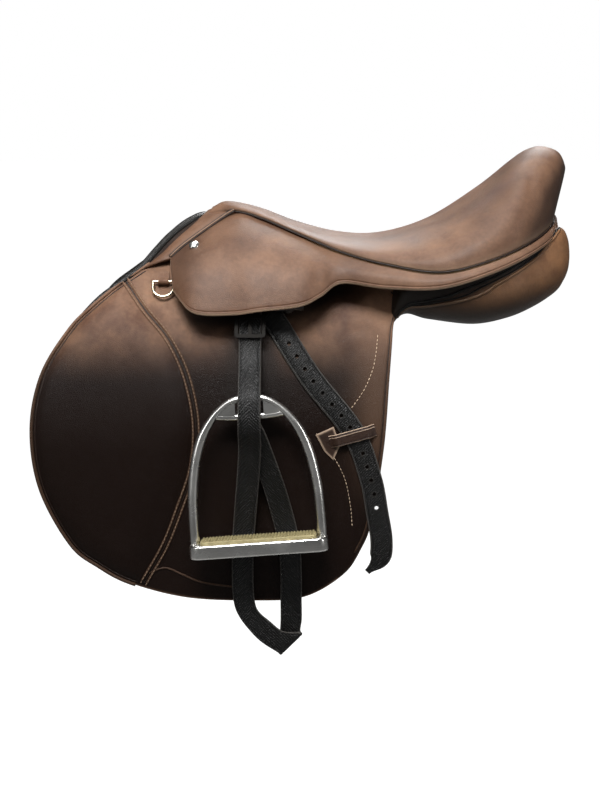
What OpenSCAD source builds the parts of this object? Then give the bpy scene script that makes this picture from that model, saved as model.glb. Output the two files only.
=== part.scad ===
// Close-contact jumping saddle, near and off side, with its stirrups run up.
// Frame: x to the rear, y to the off side, z up. The origin lies on the centre plane,
// below the lowest point of the seat, at the height where the panels bear on the back.
// Modules build the off side (+y). The near side is its mirror image.

/* [Seat] */
// Length of the seat from the pommel's front to the back of the cantle
seat_l = 405; // [380:5:440]
// Greatest width of the seat between its welts
seat_w = 280; // [260:5:310]
// Height of the cantle above the panels' bearing level
cantle_h = 200; // [185:5:220]
// Thickness of the seat leather
cover_t = 2.5; // [2:0.5:3]
// Thickness of the seat foam
foam_t = 16; // [12:1:18]
// Diameter of the welt cord between seat and skirt
welt_d = 6; // [4:0.5:7]

/* [Skirt] */
// Drop of the skirt from the welt to its lower edge, over the stirrup bar
skirt_drop = 107; // [100:1:112]
// How far the skirt spreads outwards over that drop
skirt_out = 110; // [108:1:116]
// Thickness of the skirt leather
skirt_t = 4; // [3:0.5:5]

/* [Flap] */
// Height of the flap from its top corner to its lower edge
flap_l = 372; // [360:2:384]
// Width of the flap, front to back
flap_w = 400; // [390:2:410]
// Thickness of the flap leather
flap_t = 4; // [3:0.5:5]
// Space between sweat flap and flap, for the billets and girth buckles
flap_gap = 8; // [8:0.5:9]
// Radius of the barrel that the sweat flap lies on
barrel_r = 285; // [283:1:290]
// Thickness of the sweat flap leather
sweat_t = 4; // [3.5:0.5:4]

/* [Billets] */
// Width of a billet strap
billet_w = 25; // [22:1:28]
// Thickness of a billet strap
billet_t = 4; // [3:0.5:5]
// Pitch between the three billets
billet_pitch = 38; // [34:1:44]

/* [Stirrup] */
// Diameter of the stirrup bar's rod
bar_d = 9; // [8:0.5:10]
// Length of the stirrup bar's rod
bar_l = 64; // [56:1:70]
// Width of the stirrup leather
strap_w = 25; // [22:1:28]
// Thickness of the stirrup leather
strap_t = 3.4; // [3:0.2:4]
// Width of the stirrup iron inside its branches
iron_w = 127; // [121:1:130]
// Height of the stirrup iron from the tread's top to the eye bar
iron_h = 155; // [150:1:158]
// Depth of the tread, front edge to back edge
tread_d = 44; // [40:1:48]
// Diameter of the front dee ring
dee_d = 26; // [24:1:28]

/* [Hidden] */
clearance = 0.4;      // gap between neighbouring soft and curved pieces
running = 0.08;       // radial play of a pin in its hole
overrun = 2;          // how far a cut reaches past what it cuts
eps_share = 0.001;    // step of a numeric slope, as a share of a curve
curve_steps = 4;      // points between two points of an outline
seat_steps = 3;       // points between two points of a seat curve
brown = "#5a3524";
dark_brown = "#3a2117";
black = "#1c1a1a";
steel = "#b8bcc0";
brass = "#b99a52";

// Curves

function catmull(a, b, c, d, t) =
  0.5 * (2 * b + (c - a) * t + (2 * a - 5 * b + 4 * c - d) * t * t
  + (3 * b - a - 3 * c + d) * t * t * t);
function past_start(p) = 2 * p[0] - p[1];
function past_end(p) = 2 * p[len(p) - 1] - p[len(p) - 2];
function spline(p, steps) = let (q = concat([past_start(p)], p, [past_end(p)])) concat(
  [for (i = [0 : len(p) - 2]) for (k = [0 : steps - 1])
    catmull(q[i], q[i + 1], q[i + 2], q[i + 3], k / steps)],
  [p[len(p) - 1]]);
function unit(v) = v / max(norm(v), eps_share);
function tangent(p, i) = unit(p[min(i + 1, len(p) - 1)] - p[max(i - 1, 0)]);
function side_y(p) = [p[0], -p[1], p[2]];
function flat(rows) = [for (r = rows) for (v = r) v];

// Solids from point grids. Faces are triangles, clockwise seen from outside.

function quad(a, b, c, d) = [[a, b, c], [a, c, d]];
function grid_faces(rows, cols, base, turn) = flat([
  for (i = [0 : rows - 2]) for (j = [0 : cols - 2])
    let (a = base + i * cols + j, b = a + 1, c = b + cols, d = a + cols)
    turn ? quad(a, d, c, b) : quad(a, b, c, d)]);
function rim_faces(rows, cols, base) = let (
  edge = concat(
    [for (j = [0 : cols - 1]) j],
    [for (i = [1 : rows - 1]) i * cols + cols - 1],
    [for (j = [cols - 2 : -1 : 0]) (rows - 1) * cols + j],
    [for (i = [rows - 2 : -1 : 1]) i * cols]),
  n = len(edge))
  flat([for (k = [0 : n - 1]) let (a = edge[k], b = edge[(k + 1) % n])
    quad(a, a + base, b + base, b)]);

// Sheet between an outer and an inner grid of points
module sheet(outer, inner) {
  rows = len(outer);
  cols = len(outer[0]);
  polyhedron(
    points = concat(flat(outer), flat(inner)),
    faces = concat(grid_faces(rows, cols, 0, false), grid_faces(rows, cols, rows * cols, true),
      rim_faces(rows, cols, rows * cols)));
}

// Closed solid through a row of rings with the same number of points
module loft(rings) {
  rows = len(rings);
  n = len(rings[0]);
  last = (rows - 1) * n;
  polyhedron(
    points = flat(rings),
    faces = concat(
      flat([for (i = [0 : rows - 2]) for (j = [0 : n - 1])
        let (a = i * n + j, b = i * n + (j + 1) % n) quad(a, a + n, b + n, b)]),
      [for (j = [1 : n - 2]) [0, j, j + 1]],
      [for (j = [1 : n - 2]) [last, last + j + 1, last + j]]));
}

function circle_ring(p, t, side, r, n) = let (w = unit(cross(t, side)), v = cross(w, t))
  [for (k = [0 : n - 1]) let (a = 360 * k / n) p + r * (cos(a) * v + sin(a) * w)];

// Round cord along a curve. side is a direction that the curve never takes.
module cord(path, d, n, side) {
  loft([for (i = [0 : len(path) - 1]) circle_ring(path[i], tangent(path, i), side, d / 2, n)]);
}

// Flat strap along a curve. halves holds half its width at each point, as a vector.
module strap(path, halves, t) {
  loft([for (i = [0 : len(path) - 1]) let (up = unit(cross(tangent(path, i), halves[i])))
    [path[i] - halves[i] - up * t / 2, path[i] + halves[i] - up * t / 2,
     path[i] + halves[i] + up * t / 2, path[i] - halves[i] + up * t / 2]]);
}

// Block with round upright corners, centred on x and y
module round_block(l, w, h, r) {
  translate([-l / 2 + r, -w / 2, 0]) cube([l - 2 * r, w, h]);
  translate([-l / 2, -w / 2 + r, 0]) cube([l, w - 2 * r, h]);
  for (x = [-1, 1]) for (y = [-1, 1])
    translate([x * (l / 2 - r), y * (w / 2 - r), 0]) cylinder(r = r, h = h, $fn = 48);
}

module near() mirror([0, 1, 0]) children();

// Seat curves: the spine on the centre plane and the edge at the welt, point by point

spine_shares = [
  [-0.455, 0.62], [-0.412, 0.668], [-0.32, 0.635], [-0.227, 0.565], [-0.1, 0.505], [0.025, 0.5],
  [0.168, 0.59], [0.31, 0.775], [0.425, 0.96], [0.515, 0.985], [0.545, 0.85]];
edge_shares = [
  [-0.465, 0.16, 0.59], [-0.39, 0.26, 0.62], [-0.316, 0.36, 0.57], [-0.205, 0.53, 0.49],
  [-0.086, 0.7, 0.42], [0.025, 0.86, 0.375], [0.173, 0.985, 0.345], [0.309, 0.955, 0.4],
  [0.425, 0.75, 0.48], [0.498, 0.42, 0.57], [0.523, 0, 0.63]];
dish_share = 0.06;    // how far the seat's sides rise above its middle, of the cantle's height
spine = spline([for (s = spine_shares) [s[0] * seat_l, 0, s[1] * cantle_h]], seat_steps);
edge = spline([for (s = edge_shares) [s[0] * seat_l, s[1] * seat_w / 2, s[2] * cantle_h]], seat_steps);
stations = len(spine);
across_steps = 8;

function spine_normal(i) = let (t = tangent(spine, i)) unit([-t[2], 0, t[0]]);
function edge_normal(i) = let (t = tangent(edge, i)) i == stations - 1 ? [1, 0, 0] : unit([-t[1], t[0], 0]);
// Point of a seat layer: i along, v from 0 at the spine to 1 at the edge
function layer_point(i, v, drop, inset, sink) = let (
  c = spine[i] - drop * spine_normal(i),
  e = edge[i] - inset * edge_normal(i) - [0, 0, sink],
  lift = dish_share * cantle_h * sin(180 * v) * sin(180 * i / (stations - 1)),
  s = sin(90 * v),
  d = 1 - cos(90 * v))
  [c[0] + (e[0] - c[0]) * d, c[1] + (e[1] - c[1]) * s, c[2] + (e[2] - c[2]) * d + lift];

// Layer of the seat as a fan of lines from the spine round to the edge, both sides in one solid
module seat_layer(top, bottom, v_start) {
  n = stations - 1;
  cols = across_steps + 1;
  rows = 2 * n + 1;
  function row_point(k, j, lay) = let (
    i = k <= n ? k : 2 * n - k,
    v = v_start + (1 - v_start) * j / across_steps,
    p = layer_point(i, v, lay[0], lay[1], lay[2]))
    k <= n ? p : side_y(p);
  // Points of the spine and of the back line are shared by the two sides
  function id(k, j) = v_start == 0 && j == 0 ? (k <= n ? k : 2 * n - k) : rows + k * cols + j;
  function faces_of(base, turn) = flat([
    for (k = [0 : rows - 2]) for (j = [0 : cols - 2])
      let (a = base + id(k, j), b = base + id(k, j + 1), c = base + id(k + 1, j + 1), d = base + id(k + 1, j))
      turn ? quad(a, d, c, b) : quad(a, b, c, d)]);
  function points_of(lay) = concat(
    [for (k = [0 : rows - 1]) row_point(k, 0, lay)],
    [for (k = [0 : rows - 1]) for (j = [0 : cols - 1]) row_point(k, j, lay)]);
  base = rows + rows * cols;
  rim = v_start == 0
    ? concat([for (j = [cols - 1 : -1 : 0]) id(0, j)], [for (j = [1 : cols - 1]) id(rows - 1, j)],
        [for (k = [rows - 2 : -1 : 1]) id(k, cols - 1)])
    : concat([for (j = [cols - 1 : -1 : 0]) id(0, j)], [for (k = [1 : rows - 1]) id(k, 0)],
        [for (j = [1 : cols - 1]) id(rows - 1, j)], [for (k = [rows - 2 : -1 : 1]) id(k, cols - 1)]);
  polyhedron(
    points = concat(points_of(top), points_of(bottom)),
    faces = concat(faces_of(0, false), faces_of(base, true),
      flat([for (k = [0 : len(rim) - 1]) let (a = rim[k], b = rim[(k + 1) % len(rim)])
        quad(a, b, b + base, a + base)])));
}

// Layers are [drop at the spine, inset at the edge, sink at the edge]
web_t = 2;
tree_t = 9;
rail_share = 0.5;         // where the tree's open middle ends, from spine to edge
rail_inset = 8;
foam_top = [cover_t + clearance, cover_t + clearance, 0];
foam_bottom = [foam_top[0] + foam_t, rail_inset, clearance];
web_top = [foam_bottom[0] + 3 * clearance, rail_inset, clearance];
tree_top = [web_top[0] + web_t + clearance, rail_inset + 3 * clearance, 8 * clearance];
tree_bottom = [tree_top[0] + tree_t, tree_top[1] + tree_t / 3, tree_top[2] + tree_t];

module seat_cover() color(brown) seat_layer([0, 0, 0], [cover_t, cover_t, 0], 0);
module seat_foam() color("wheat") seat_layer(foam_top, foam_bottom, 0);
module tree_frame() color("burlywood") seat_layer(tree_top, tree_bottom, rail_share);

// Webbing strained along the open middle of the tree
web_first_share = 0.3;
web_last_share = 0.8;
web_reach_share = 0.42;
web_first = floor(web_first_share * (stations - 1));
web_last = floor(web_last_share * (stations - 1));
function web_row(i, drop) = [for (j = [-across_steps : across_steps]) let (
  p = layer_point(i, abs(j) / across_steps * web_reach_share, drop, rail_inset, clearance))
  j < 0 ? side_y(p) : p];
module seat_webbing() color("tan")
  sheet([for (i = [web_first : web_last]) web_row(i, web_top[0])],
    [for (i = [web_first : web_last]) web_row(i, web_top[0] + web_t)]);

// Welt cord under the edge of the cover
welt_sink = welt_d / 2 + clearance;
welt_sides = 8;
module seat_welt() color(dark_brown) {
  off_line = [for (i = [0 : stations - 1]) edge[i] - [0, 0, welt_sink]];
  near_line = [for (i = [stations - 2 : -1 : 0]) side_y(off_line[i])];
  cord(concat(off_line, near_line), welt_d, welt_sides, [0, 0, 1]);
}

// Skirt: from under the welt outwards and down over the stirrup bar

skirt_front_shares = [[-0.583, 0.514, 0.38], [-0.494, 0.371, 0.5]];
skirt_mid_shares = [-0.148, 0.618, 0.42];
// Rearward shift, outward reach and drop of the lower edge at each station
skirt_reach_shares = [
  [0.13, 0.44, 0.43], [0, 0.82, 0.76], [0, 1, 1], [0, 0.9, 0.89], [0, 0.67, 0.7], [0, 0.47, 0.53],
  [-0.03, 0.24, 0.33], [0, 0.15, 0.27], [0, 0.12, 0.22], [0.03, 0.1, 0.17], [0.04, 0.07, 0.125],
  [0.045, 0.03, 0.08], [0.04, 0, 0.05]];
skirt_bulge_share = 0.15;
skirt_rows = 6;
skirt_top_sink = welt_d + 3 * clearance;
function seat_point(s) = [s[0] * seat_l, s[1] * seat_w / 2, s[2] * cantle_h];
function below_welt(k) = let (s = edge_shares[k]) seat_point(s) + [0, 3 * clearance, -skirt_top_sink];
skirt_top = concat([for (s = skirt_front_shares) seat_point(s)], [for (k = [1 : 3]) below_welt(k)],
  [seat_point(skirt_mid_shares)], [for (k = [4 : 10]) below_welt(k)]);
skirt_low = [for (k = [0 : len(skirt_top) - 1]) let (r = skirt_reach_shares[k])
  skirt_top[k] + [r[0] * skirt_drop, r[1] * skirt_out, -r[2] * skirt_drop]];
skirt_t_line = spline(skirt_top, seat_steps);
skirt_l_line = spline(skirt_low, seat_steps);
function skirt_point(i, v, depth) = let (
  a = skirt_t_line[i], run = skirt_l_line[i] - a, n = unit(cross(tangent(skirt_t_line, i), run)))
  a + run * v + n * (skirt_bulge_share * norm(run) * sin(180 * v) - depth);
function skirt_grid(depth) = [for (i = [0 : len(skirt_t_line) - 1])
  [for (j = [0 : skirt_rows]) skirt_point(i, j / skirt_rows, depth)]];
module off_skirt() color(brown) sheet(skirt_grid(0), skirt_grid(skirt_t));
module near_skirt() near() off_skirt();

// Facings of the pommel: bands that close the arch under the front of the seat

pommel_line_shares = [[-0.4525, 0, 0.602], [-0.4655, 0.16, 0.567], [-0.512, 0.34, 0.467], [-0.577, 0.44, 0.387]];
arch_line_shares = [[-0.492, 0, 0.575], [-0.504, 0.15, 0.545], [-0.548, 0.31, 0.45], [-0.61, 0.39, 0.37]];
gullet_line_shares = [[-0.475, 0, 0.44], [-0.49, 0.07, 0.42], [-0.545, 0.2, 0.3], [-0.6, 0.24, 0.17]];
facing_t = 3;
facing_gap = 0.4;
function mirrored(p) = concat([for (i = [len(p) - 1 : -1 : 1]) side_y(p[i])], p);
function facing_line(shares) = mirrored(spline([for (s = shares) seat_point(s)], curve_steps));
// Sheet between two lines, let down from the upper one and thick along depth
module facing(upper, lower, drop, depth) {
  a = [for (p = facing_line(upper)) p - [0, 0, drop]];
  b = facing_line(lower);
  sheet([for (i = [0 : len(a) - 1]) [a[i], (a[i] + b[i]) / 2, b[i]]],
    [for (i = [0 : len(a) - 1]) [a[i] + depth, (a[i] + b[i]) / 2 + depth, b[i] + depth]]);
}
module pommel_facing() color(brown)
  facing(pommel_line_shares, arch_line_shares, facing_gap, [0, 0, -facing_t]);
module panel_facing() color(dark_brown)
  facing(arch_line_shares, gullet_line_shares, facing_t + facing_gap, [facing_t, 0, 0]);

// Barrel: the round side that flaps and sweat flaps hang on, straight below its widest level

bar_x = -135;
bar_u = 110;
bar_z = 26;
bar_stand = 10;           // bar axis above the flap's outer face
barrel_drop = 156;        // bar axis above the barrel's widest level
sweat_out_r = barrel_r + sweat_t;
billet_in_r = sweat_out_r + clearance;
billet_out_r = billet_in_r + billet_t;
flap_in_r = sweat_out_r + flap_gap;
flap_out_r = flap_in_r + flap_t;
tail_in_r = flap_out_r + clearance;
tail_out_r = tail_in_r + strap_t;
bar_r = flap_out_r + bar_stand;
bar_tilt = asin(barrel_drop / bar_r);
axis_u = bar_u - bar_r * cos(bar_tilt);
axis_z = bar_z - barrel_drop;
arc_steps = 16;
function barrel_u(r, z) = axis_u + (z > axis_z ? sqrt(r * r - (z - axis_z) * (z - axis_z)) : r);
// Slice of the barrel between two radii and two heights, as a profile drawn in y and z
function side_line(r, low, high) = let (from = asin(max(low - axis_z, 0) / r), to = asin((high - axis_z) / r))
  concat(low < axis_z ? [[axis_u + r, low]] : [],
    [for (k = [0 : arc_steps]) let (a = from + (to - from) * k / arc_steps)
      [axis_u + r * cos(a), axis_z + r * sin(a)]]);
function turned(p) = [for (i = [len(p) - 1 : -1 : 0]) p[i]];
module barrel_shell(r_in, r_out, low, high, x_from, x_to)
  translate([x_from, 0, 0]) rotate([90, 0, 90]) linear_extrude(height = x_to - x_from)
    polygon(concat(side_line(r_out, low, high), turned(side_line(r_in, low, high))));
shell_depth = 2 * barrel_r;
module side_prism(outline) translate([0, shell_depth, 0]) rotate([90, 0, 0])
  linear_extrude(height = shell_depth) polygon(outline);
module barrel_piece(outline, r_in, r_out, low, high) intersection() {
  barrel_shell(r_in, r_out, low, high, -flap_w, flap_w / 2);
  side_prism(outline);
}

// Flap outline from its front top corner round to its rear top corner
flap_shares = [
  [-0.295, 0.121], [-0.375, 0.065], [-0.4425, 0], [-0.495, -0.067], [-0.5725, -0.196],
  [-0.6125, -0.3575], [-0.5925, -0.5375], [-0.5125, -0.707], [-0.43, -0.7715], [-0.3325, -0.817],
  [-0.18, -0.863], [-0.01, -0.879], [0.13, -0.871], [0.215, -0.801], [0.2825, -0.632],
  [0.3425, -0.4165], [0.365, -0.21], [0.38, -0.067], [0.3875, 0.046]];
function flap_points(shares, k) = [for (s = shares) [bar_x + s[0] * flap_w * k, bar_z + s[1] * flap_l * k]];
flap_outline = spline(flap_points(flap_shares, 1), curve_steps);
flap_low_share = 0.95;
flap_low = -flap_low_share * flap_l;
flap_top = flap_l / 4;
bend_drop = 18;           // level below the bar where the flap bends when it is lifted
bend_z = bar_z - bend_drop;
window_l = 90;            // window of the flap round the stirrup bar
window_rise = 22;
module off_flap_head() color(brown) difference() {
  barrel_piece(flap_outline, flap_in_r, flap_out_r, bend_z + clearance, flap_top);
  translate([bar_x - window_l / 2, 0, bend_z - overrun])
    cube([window_l, flap_w, bend_drop + window_rise + overrun]);
}
module near_flap_head() near() off_flap_head();
module off_flap() color(dark_brown) barrel_piece(flap_outline, flap_in_r, flap_out_r, flap_low, bend_z);
module near_flap() near() off_flap();

// Padded front of the flap, between its edge and the seam behind the knee
pad_shares = [
  [-0.43, -0.058], [-0.485, -0.075], [-0.56, -0.2], [-0.598, -0.3575], [-0.58, -0.53], [-0.503, -0.69],
  [-0.43, -0.75], [-0.325, -0.8], [-0.25, -0.7], [-0.215, -0.58], [-0.19, -0.42], [-0.185, -0.28],
  [-0.205, -0.14], [-0.25, -0.058]];
pad_t = 7;
module off_knee_pad() color(brown)
  barrel_piece(spline(flap_points(pad_shares, 1), curve_steps), tail_in_r, tail_in_r + pad_t,
    flap_low, bend_z);
module near_knee_pad() near() off_knee_pad();

// Sweat flap, knee block and billets under the flap
sweat_scale = 0.92;
sweat_top_drop = 22;
module off_sweat_flap() color(dark_brown)
  barrel_piece(spline(flap_points(flap_shares, sweat_scale), curve_steps), barrel_r, sweat_out_r, flap_low,
    bar_z - sweat_top_drop);
module near_sweat_flap() near() off_sweat_flap();

block_shares = [
  [-0.4, -0.1], [-0.5, -0.25], [-0.53, -0.4], [-0.5, -0.55], [-0.42, -0.58], [-0.39, -0.42], [-0.37, -0.25],
  [-0.35, -0.12]];
module off_knee_block() color(dark_brown)
  barrel_piece(spline(flap_points(block_shares, 1), curve_steps), billet_in_r, flap_in_r - clearance,
    flap_low, bar_z - sweat_top_drop);
module near_knee_block() near() off_knee_block();

// Holes punched across a strap at places on the side of the barrel
hole_d = 4.8;
module punch(places) for (p = places) translate([p[0], 0, p[1]]) along_y(hole_d, barrel_r, 24);

billet_hole_from = 45;    // lowest hole above a billet's end
billet_hole_pitch = 25;
billet_holes = 6;
billet_x = -100;
billet_top_share = -0.07;
billet_low_share = -0.76;
billet_point = 14;        // length of a billet's pointed end
module off_billets() color(dark_brown) for (k = [-1 : 1]) let (
  x = billet_x + k * billet_pitch,
  top = bar_z + billet_top_share * flap_l,
  low = bar_z + billet_low_share * flap_l,
  w = billet_w / 2) difference() {
  barrel_piece([[x - w, top], [x - w, low + billet_point], [x - w / 2, low], [x + w / 2, low],
    [x + w, low + billet_point], [x + w, top]], billet_in_r, billet_out_r, flap_low, bar_z - sweat_top_drop);
  punch([for (i = [0 : billet_holes - 1]) [x, low + billet_hole_from + i * billet_hole_pitch]]);
}
module near_billets() near() off_billets();

// Tail of the stirrup leather on the flap, and the keeper that holds it
tail_shares = [[0.07, -0.06], [0.16, -0.205], [0.275, -0.36], [0.325, -0.5], [0.345, -0.61], [0.36, -0.715],
  [0.34, -0.785]];
tail_line = spline(flap_points(tail_shares, 1), curve_steps);
function tail_normal(i) = let (t = tangent(tail_line, i)) [-t[1], t[0]];
function tail_edge(offset) = [for (i = [0 : len(tail_line) - 1]) tail_line[i] + offset * tail_normal(i)];
function point_at(p, s, i = 0) = let (d = norm(p[i + 1] - p[i]))
  s <= d || i == len(p) - 2 ? p[i] + (p[i + 1] - p[i]) * s / d : point_at(p, s - d, i + 1);
tail_hole_from = 24;
tail_hole_pitch = 16;
tail_holes = 14;
module off_leather_tail() color(black) difference() {
  barrel_piece(concat(tail_edge(-strap_w / 2), turned(tail_edge(strap_w / 2))), tail_in_r, tail_out_r,
    flap_low, bend_z);
  punch([for (i = [0 : tail_holes - 1]) point_at(tail_line, tail_hole_from + i * tail_hole_pitch)]);
}
module near_leather_tail() near() off_leather_tail();

keeper_l = 50;
keeper_w = 13;
keeper_t = 2.5;
keeper_foot = 5;
keeper_turn = 15;
keeper_shares = [0.275, -0.374];
keeper_at = [bar_x + keeper_shares[0] * flap_w, bar_z + keeper_shares[1] * flap_l];
function keeper_corner(a, b) = keeper_at
  + [a * cos(keeper_turn) - b * sin(keeper_turn), a * sin(keeper_turn) + b * cos(keeper_turn)];
function keeper_box(a0, a1) = [keeper_corner(a0, -keeper_w / 2), keeper_corner(a1, -keeper_w / 2),
  keeper_corner(a1, keeper_w / 2), keeper_corner(a0, keeper_w / 2)];
keeper_in_r = tail_out_r + clearance;
module off_flap_keeper() color(brown) difference() {
  barrel_piece(keeper_box(-keeper_l / 2, keeper_l / 2), tail_in_r, keeper_in_r + keeper_t, flap_low, bend_z);
  barrel_shell(barrel_r, keeper_in_r, flap_low, bend_z, keeper_at[0] - keeper_l / 2 + keeper_foot,
    keeper_at[0] + keeper_l / 2 - keeper_foot);
}
module near_flap_keeper() near() off_flap_keeper();

// Tree head: the arch over the withers, its legs on the inner side of the barrel

leg_gap = 7;
leg_out_r = barrel_r - leg_gap;
leg_t = 10;
leg_low = 12;
leg_under = 19;           // how far the legs' upper ends lie under the head's top
head_at_share = -0.4543;  // front of the legs along the seat
head_from = head_at_share * seat_l;
head_l = 56;
head_w_share = 0.2572;
head_w = head_w_share * seat_w;
head_h = 29;
head_station = 2 * seat_steps;
head_gap = 8.3;           // from the frame's rail down to the head's top
rail_at_head = layer_point(head_station, rail_share, tree_bottom[0], tree_bottom[1], tree_bottom[2]);
head_top = rail_at_head[2] - head_gap;
head_low = head_top - head_h;
leg_high = head_top - leg_under;
head_back = 12;           // how far the head's crown stands back from the legs' front
module tree_leg()
  barrel_shell(leg_out_r - leg_t, leg_out_r, leg_low, leg_high, head_from, head_from + head_l);
module tree_head() color("burlywood") {
  tree_leg();
  near() tree_leg();
  translate([head_from + head_back, -head_w / 2, head_low]) cube([head_l - head_back, head_w, head_h]);
}

// Rivets from the head into the tree's frame
rivet_d = 5;
rivet_at_share = -0.3457;
rivet_x = rivet_at_share * seat_l;
rivet_out_share = 0.2143;
rivet_u = rivet_out_share * seat_w / 2;
rivet_in = 23;            // how deep the rivets go into the head
rivet_l = 40;
module tree_rivets() color(steel) for (s = [-1, 1])
  translate([rivet_x, s * rivet_u, head_top - rivet_in]) cylinder(d = rivet_d, h = rivet_l, $fn = 24);

// Screws that tie the panels up to the tree: along, out, lower end, upper end
screw_shares = [[0.247, 0.68, 0.3, 0.545], [0.148, 0.68, 0.22, 0.44]];
screw_d = 6;
module panel_screws() color(steel) for (s = [-1, 1]) for (k = screw_shares)
  translate([k[0] * seat_l, s * k[1] * seat_w / 2, k[2] * cantle_h])
    cylinder(d = screw_d, h = (k[3] - k[2]) * cantle_h, $fn = 24);

// Domed nail on the front of each skirt
nail_d = 12;
nail_h = 3.5;
nail_stand = 2.2;
nail_station = 3;
nail_share = 0.22;
nail_steps = 5;
module off_nail() {
  run = skirt_l_line[nail_station] - skirt_t_line[nail_station];
  n = unit(cross(tangent(skirt_t_line, nail_station), run));
  translate(skirt_point(nail_station, nail_share, -nail_stand)) rotate([-atan2(n[1], n[2]), 0, 0])
    rotate_extrude($fn = 32) polygon(concat([[0, 0]], [for (k = [0 : nail_steps])
      [nail_d / 2 * cos(90 * k / nail_steps), nail_h * sin(90 * k / nail_steps)]]));
}
module saddle_nails() color(steel) {
  off_nail();
  near() off_nail();
}

// Panel: stuffed cushion from the knee back to the cantle, as a row of flat rounds.
// Shares of a station: along, out, up, half width, half thickness. The last figure is its turn.
panel_shares = [
  [-0.63, 0.66, -0.21, 0.19, 0.03, -68], [-0.573, 0.67, -0.235, 0.315, 0.045, -68],
  [-0.37, 0.665, -0.24, 0.34, 0.056, -70], [-0.148, 0.625, -0.17, 0.335, 0.062, -63],
  [0.025, 0.45, 0.04, 0.27, 0.08, -42], [0.148, 0.57, 0.165, 0.33, 0.15, -14],
  [0.247, 0.585, 0.215, 0.33, 0.185, 0], [0.37, 0.555, 0.228, 0.315, 0.17, 8],
  [0.464, 0.4, 0.285, 0.25, 0.15, 12], [0.515, 0.35, 0.33, 0.22, 0.135, 14],
  [0.545, 0.31, 0.375, 0.19, 0.145, 14], [0.565, 0.29, 0.41, 0.14, 0.1, 14],
  [0.575, 0.28, 0.42, 0.06, 0.04, 14]];
panel_sides = 16;
panel_steps = 2;
panel_round = 0.75;       // below one, the rounds are fuller than ellipses
function full(c) = sign(c) * pow(abs(c), panel_round);
function panel_ring(k) = let (
  p = seat_point(k), w = k[3] * seat_w / 2, t = k[4] * cantle_h)
  [for (j = [0 : panel_sides - 1]) let (
    a = 360 * j / panel_sides, b = w * full(cos(a)), c = t * full(sin(a)))
    p + [0, b * cos(k[5]) - c * sin(k[5]), b * sin(k[5]) + c * cos(k[5])]];
module off_panel() color("#6b3f25") loft([for (k = spline(panel_shares, panel_steps)) panel_ring(k)]);
module near_panel() near() off_panel();

// Stirrup bar: rod on an arm from a plate on the tree's leg, with a pin for the catch at its rear end

module at_bar() translate([bar_x, bar_u, bar_z]) rotate([bar_tilt, 0, 0]) children();
module along_x(d, l, sides) rotate([0, 90, 0]) cylinder(d = d, h = l, center = true, $fn = sides);
module along_y(d, l, sides) rotate([-90, 0, 0]) cylinder(d = d, h = l, $fn = sides);
plate_t = 3;
plate_w = 16;
plate_over = 7;
arm_w = 10;
plate_in = leg_out_r + clearance - bar_r;
tang_d = 11;
neck_w = 7;
tang_out = 7;
pin_d = 4;
head_d = 7;
catch_t = 3.5;
catch_l = 17;
catch_w = 8;
pin_head_t = 1.2;
module off_stirrup_bar() color(steel) at_bar() {
  along_x(bar_d, bar_l, 48);
  translate([-bar_l / 2 - plate_over, plate_in, -plate_w / 2])
    cube([bar_l + 2 * plate_over, plate_t, plate_w]);
  translate([-bar_l / 2 - plate_over, plate_in, -arm_w / 2])
    cube([arm_w, bar_d / 2 - plate_in, arm_w]);
  translate([bar_l / 2 + tang_out, -bar_d / 2, 0]) along_y(tang_d, bar_d / 2, 48);
  translate([bar_l / 2 - tang_out, -bar_d / 2, -neck_w / 2]) cube([2 * tang_out, bar_d / 2, neck_w]);
  translate([bar_l / 2 + tang_out, -bar_d / 4, 0])
    along_y(pin_d, bar_d / 4 + catch_t + 2 * clearance + pin_head_t, 48);
  translate([bar_l / 2 + tang_out, catch_t + 2 * clearance, 0]) along_y(head_d, pin_head_t, 48);
}
module near_stirrup_bar() near() off_stirrup_bar();
module off_bar_catch() color(steel) at_bar() translate([bar_l / 2 + tang_out, clearance, 0]) difference() {
  union() {
    along_y(tang_d, catch_t, 48);
    translate([0, 0, -catch_w / 2]) cube([catch_l, catch_t, catch_w]);
  }
  translate([0, -overrun, 0]) along_y(pin_d + 2 * running, catch_t + 2 * overrun, 48);
}
module near_bar_catch() near() off_bar_catch();

// Stirrup leather: over the bar, in front of the iron's eye, through the arch, behind the tread to a
// fold below the flap, and back up through the eye. Shares: across, out from the flap's face, down, then
// half width across and up.

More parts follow.
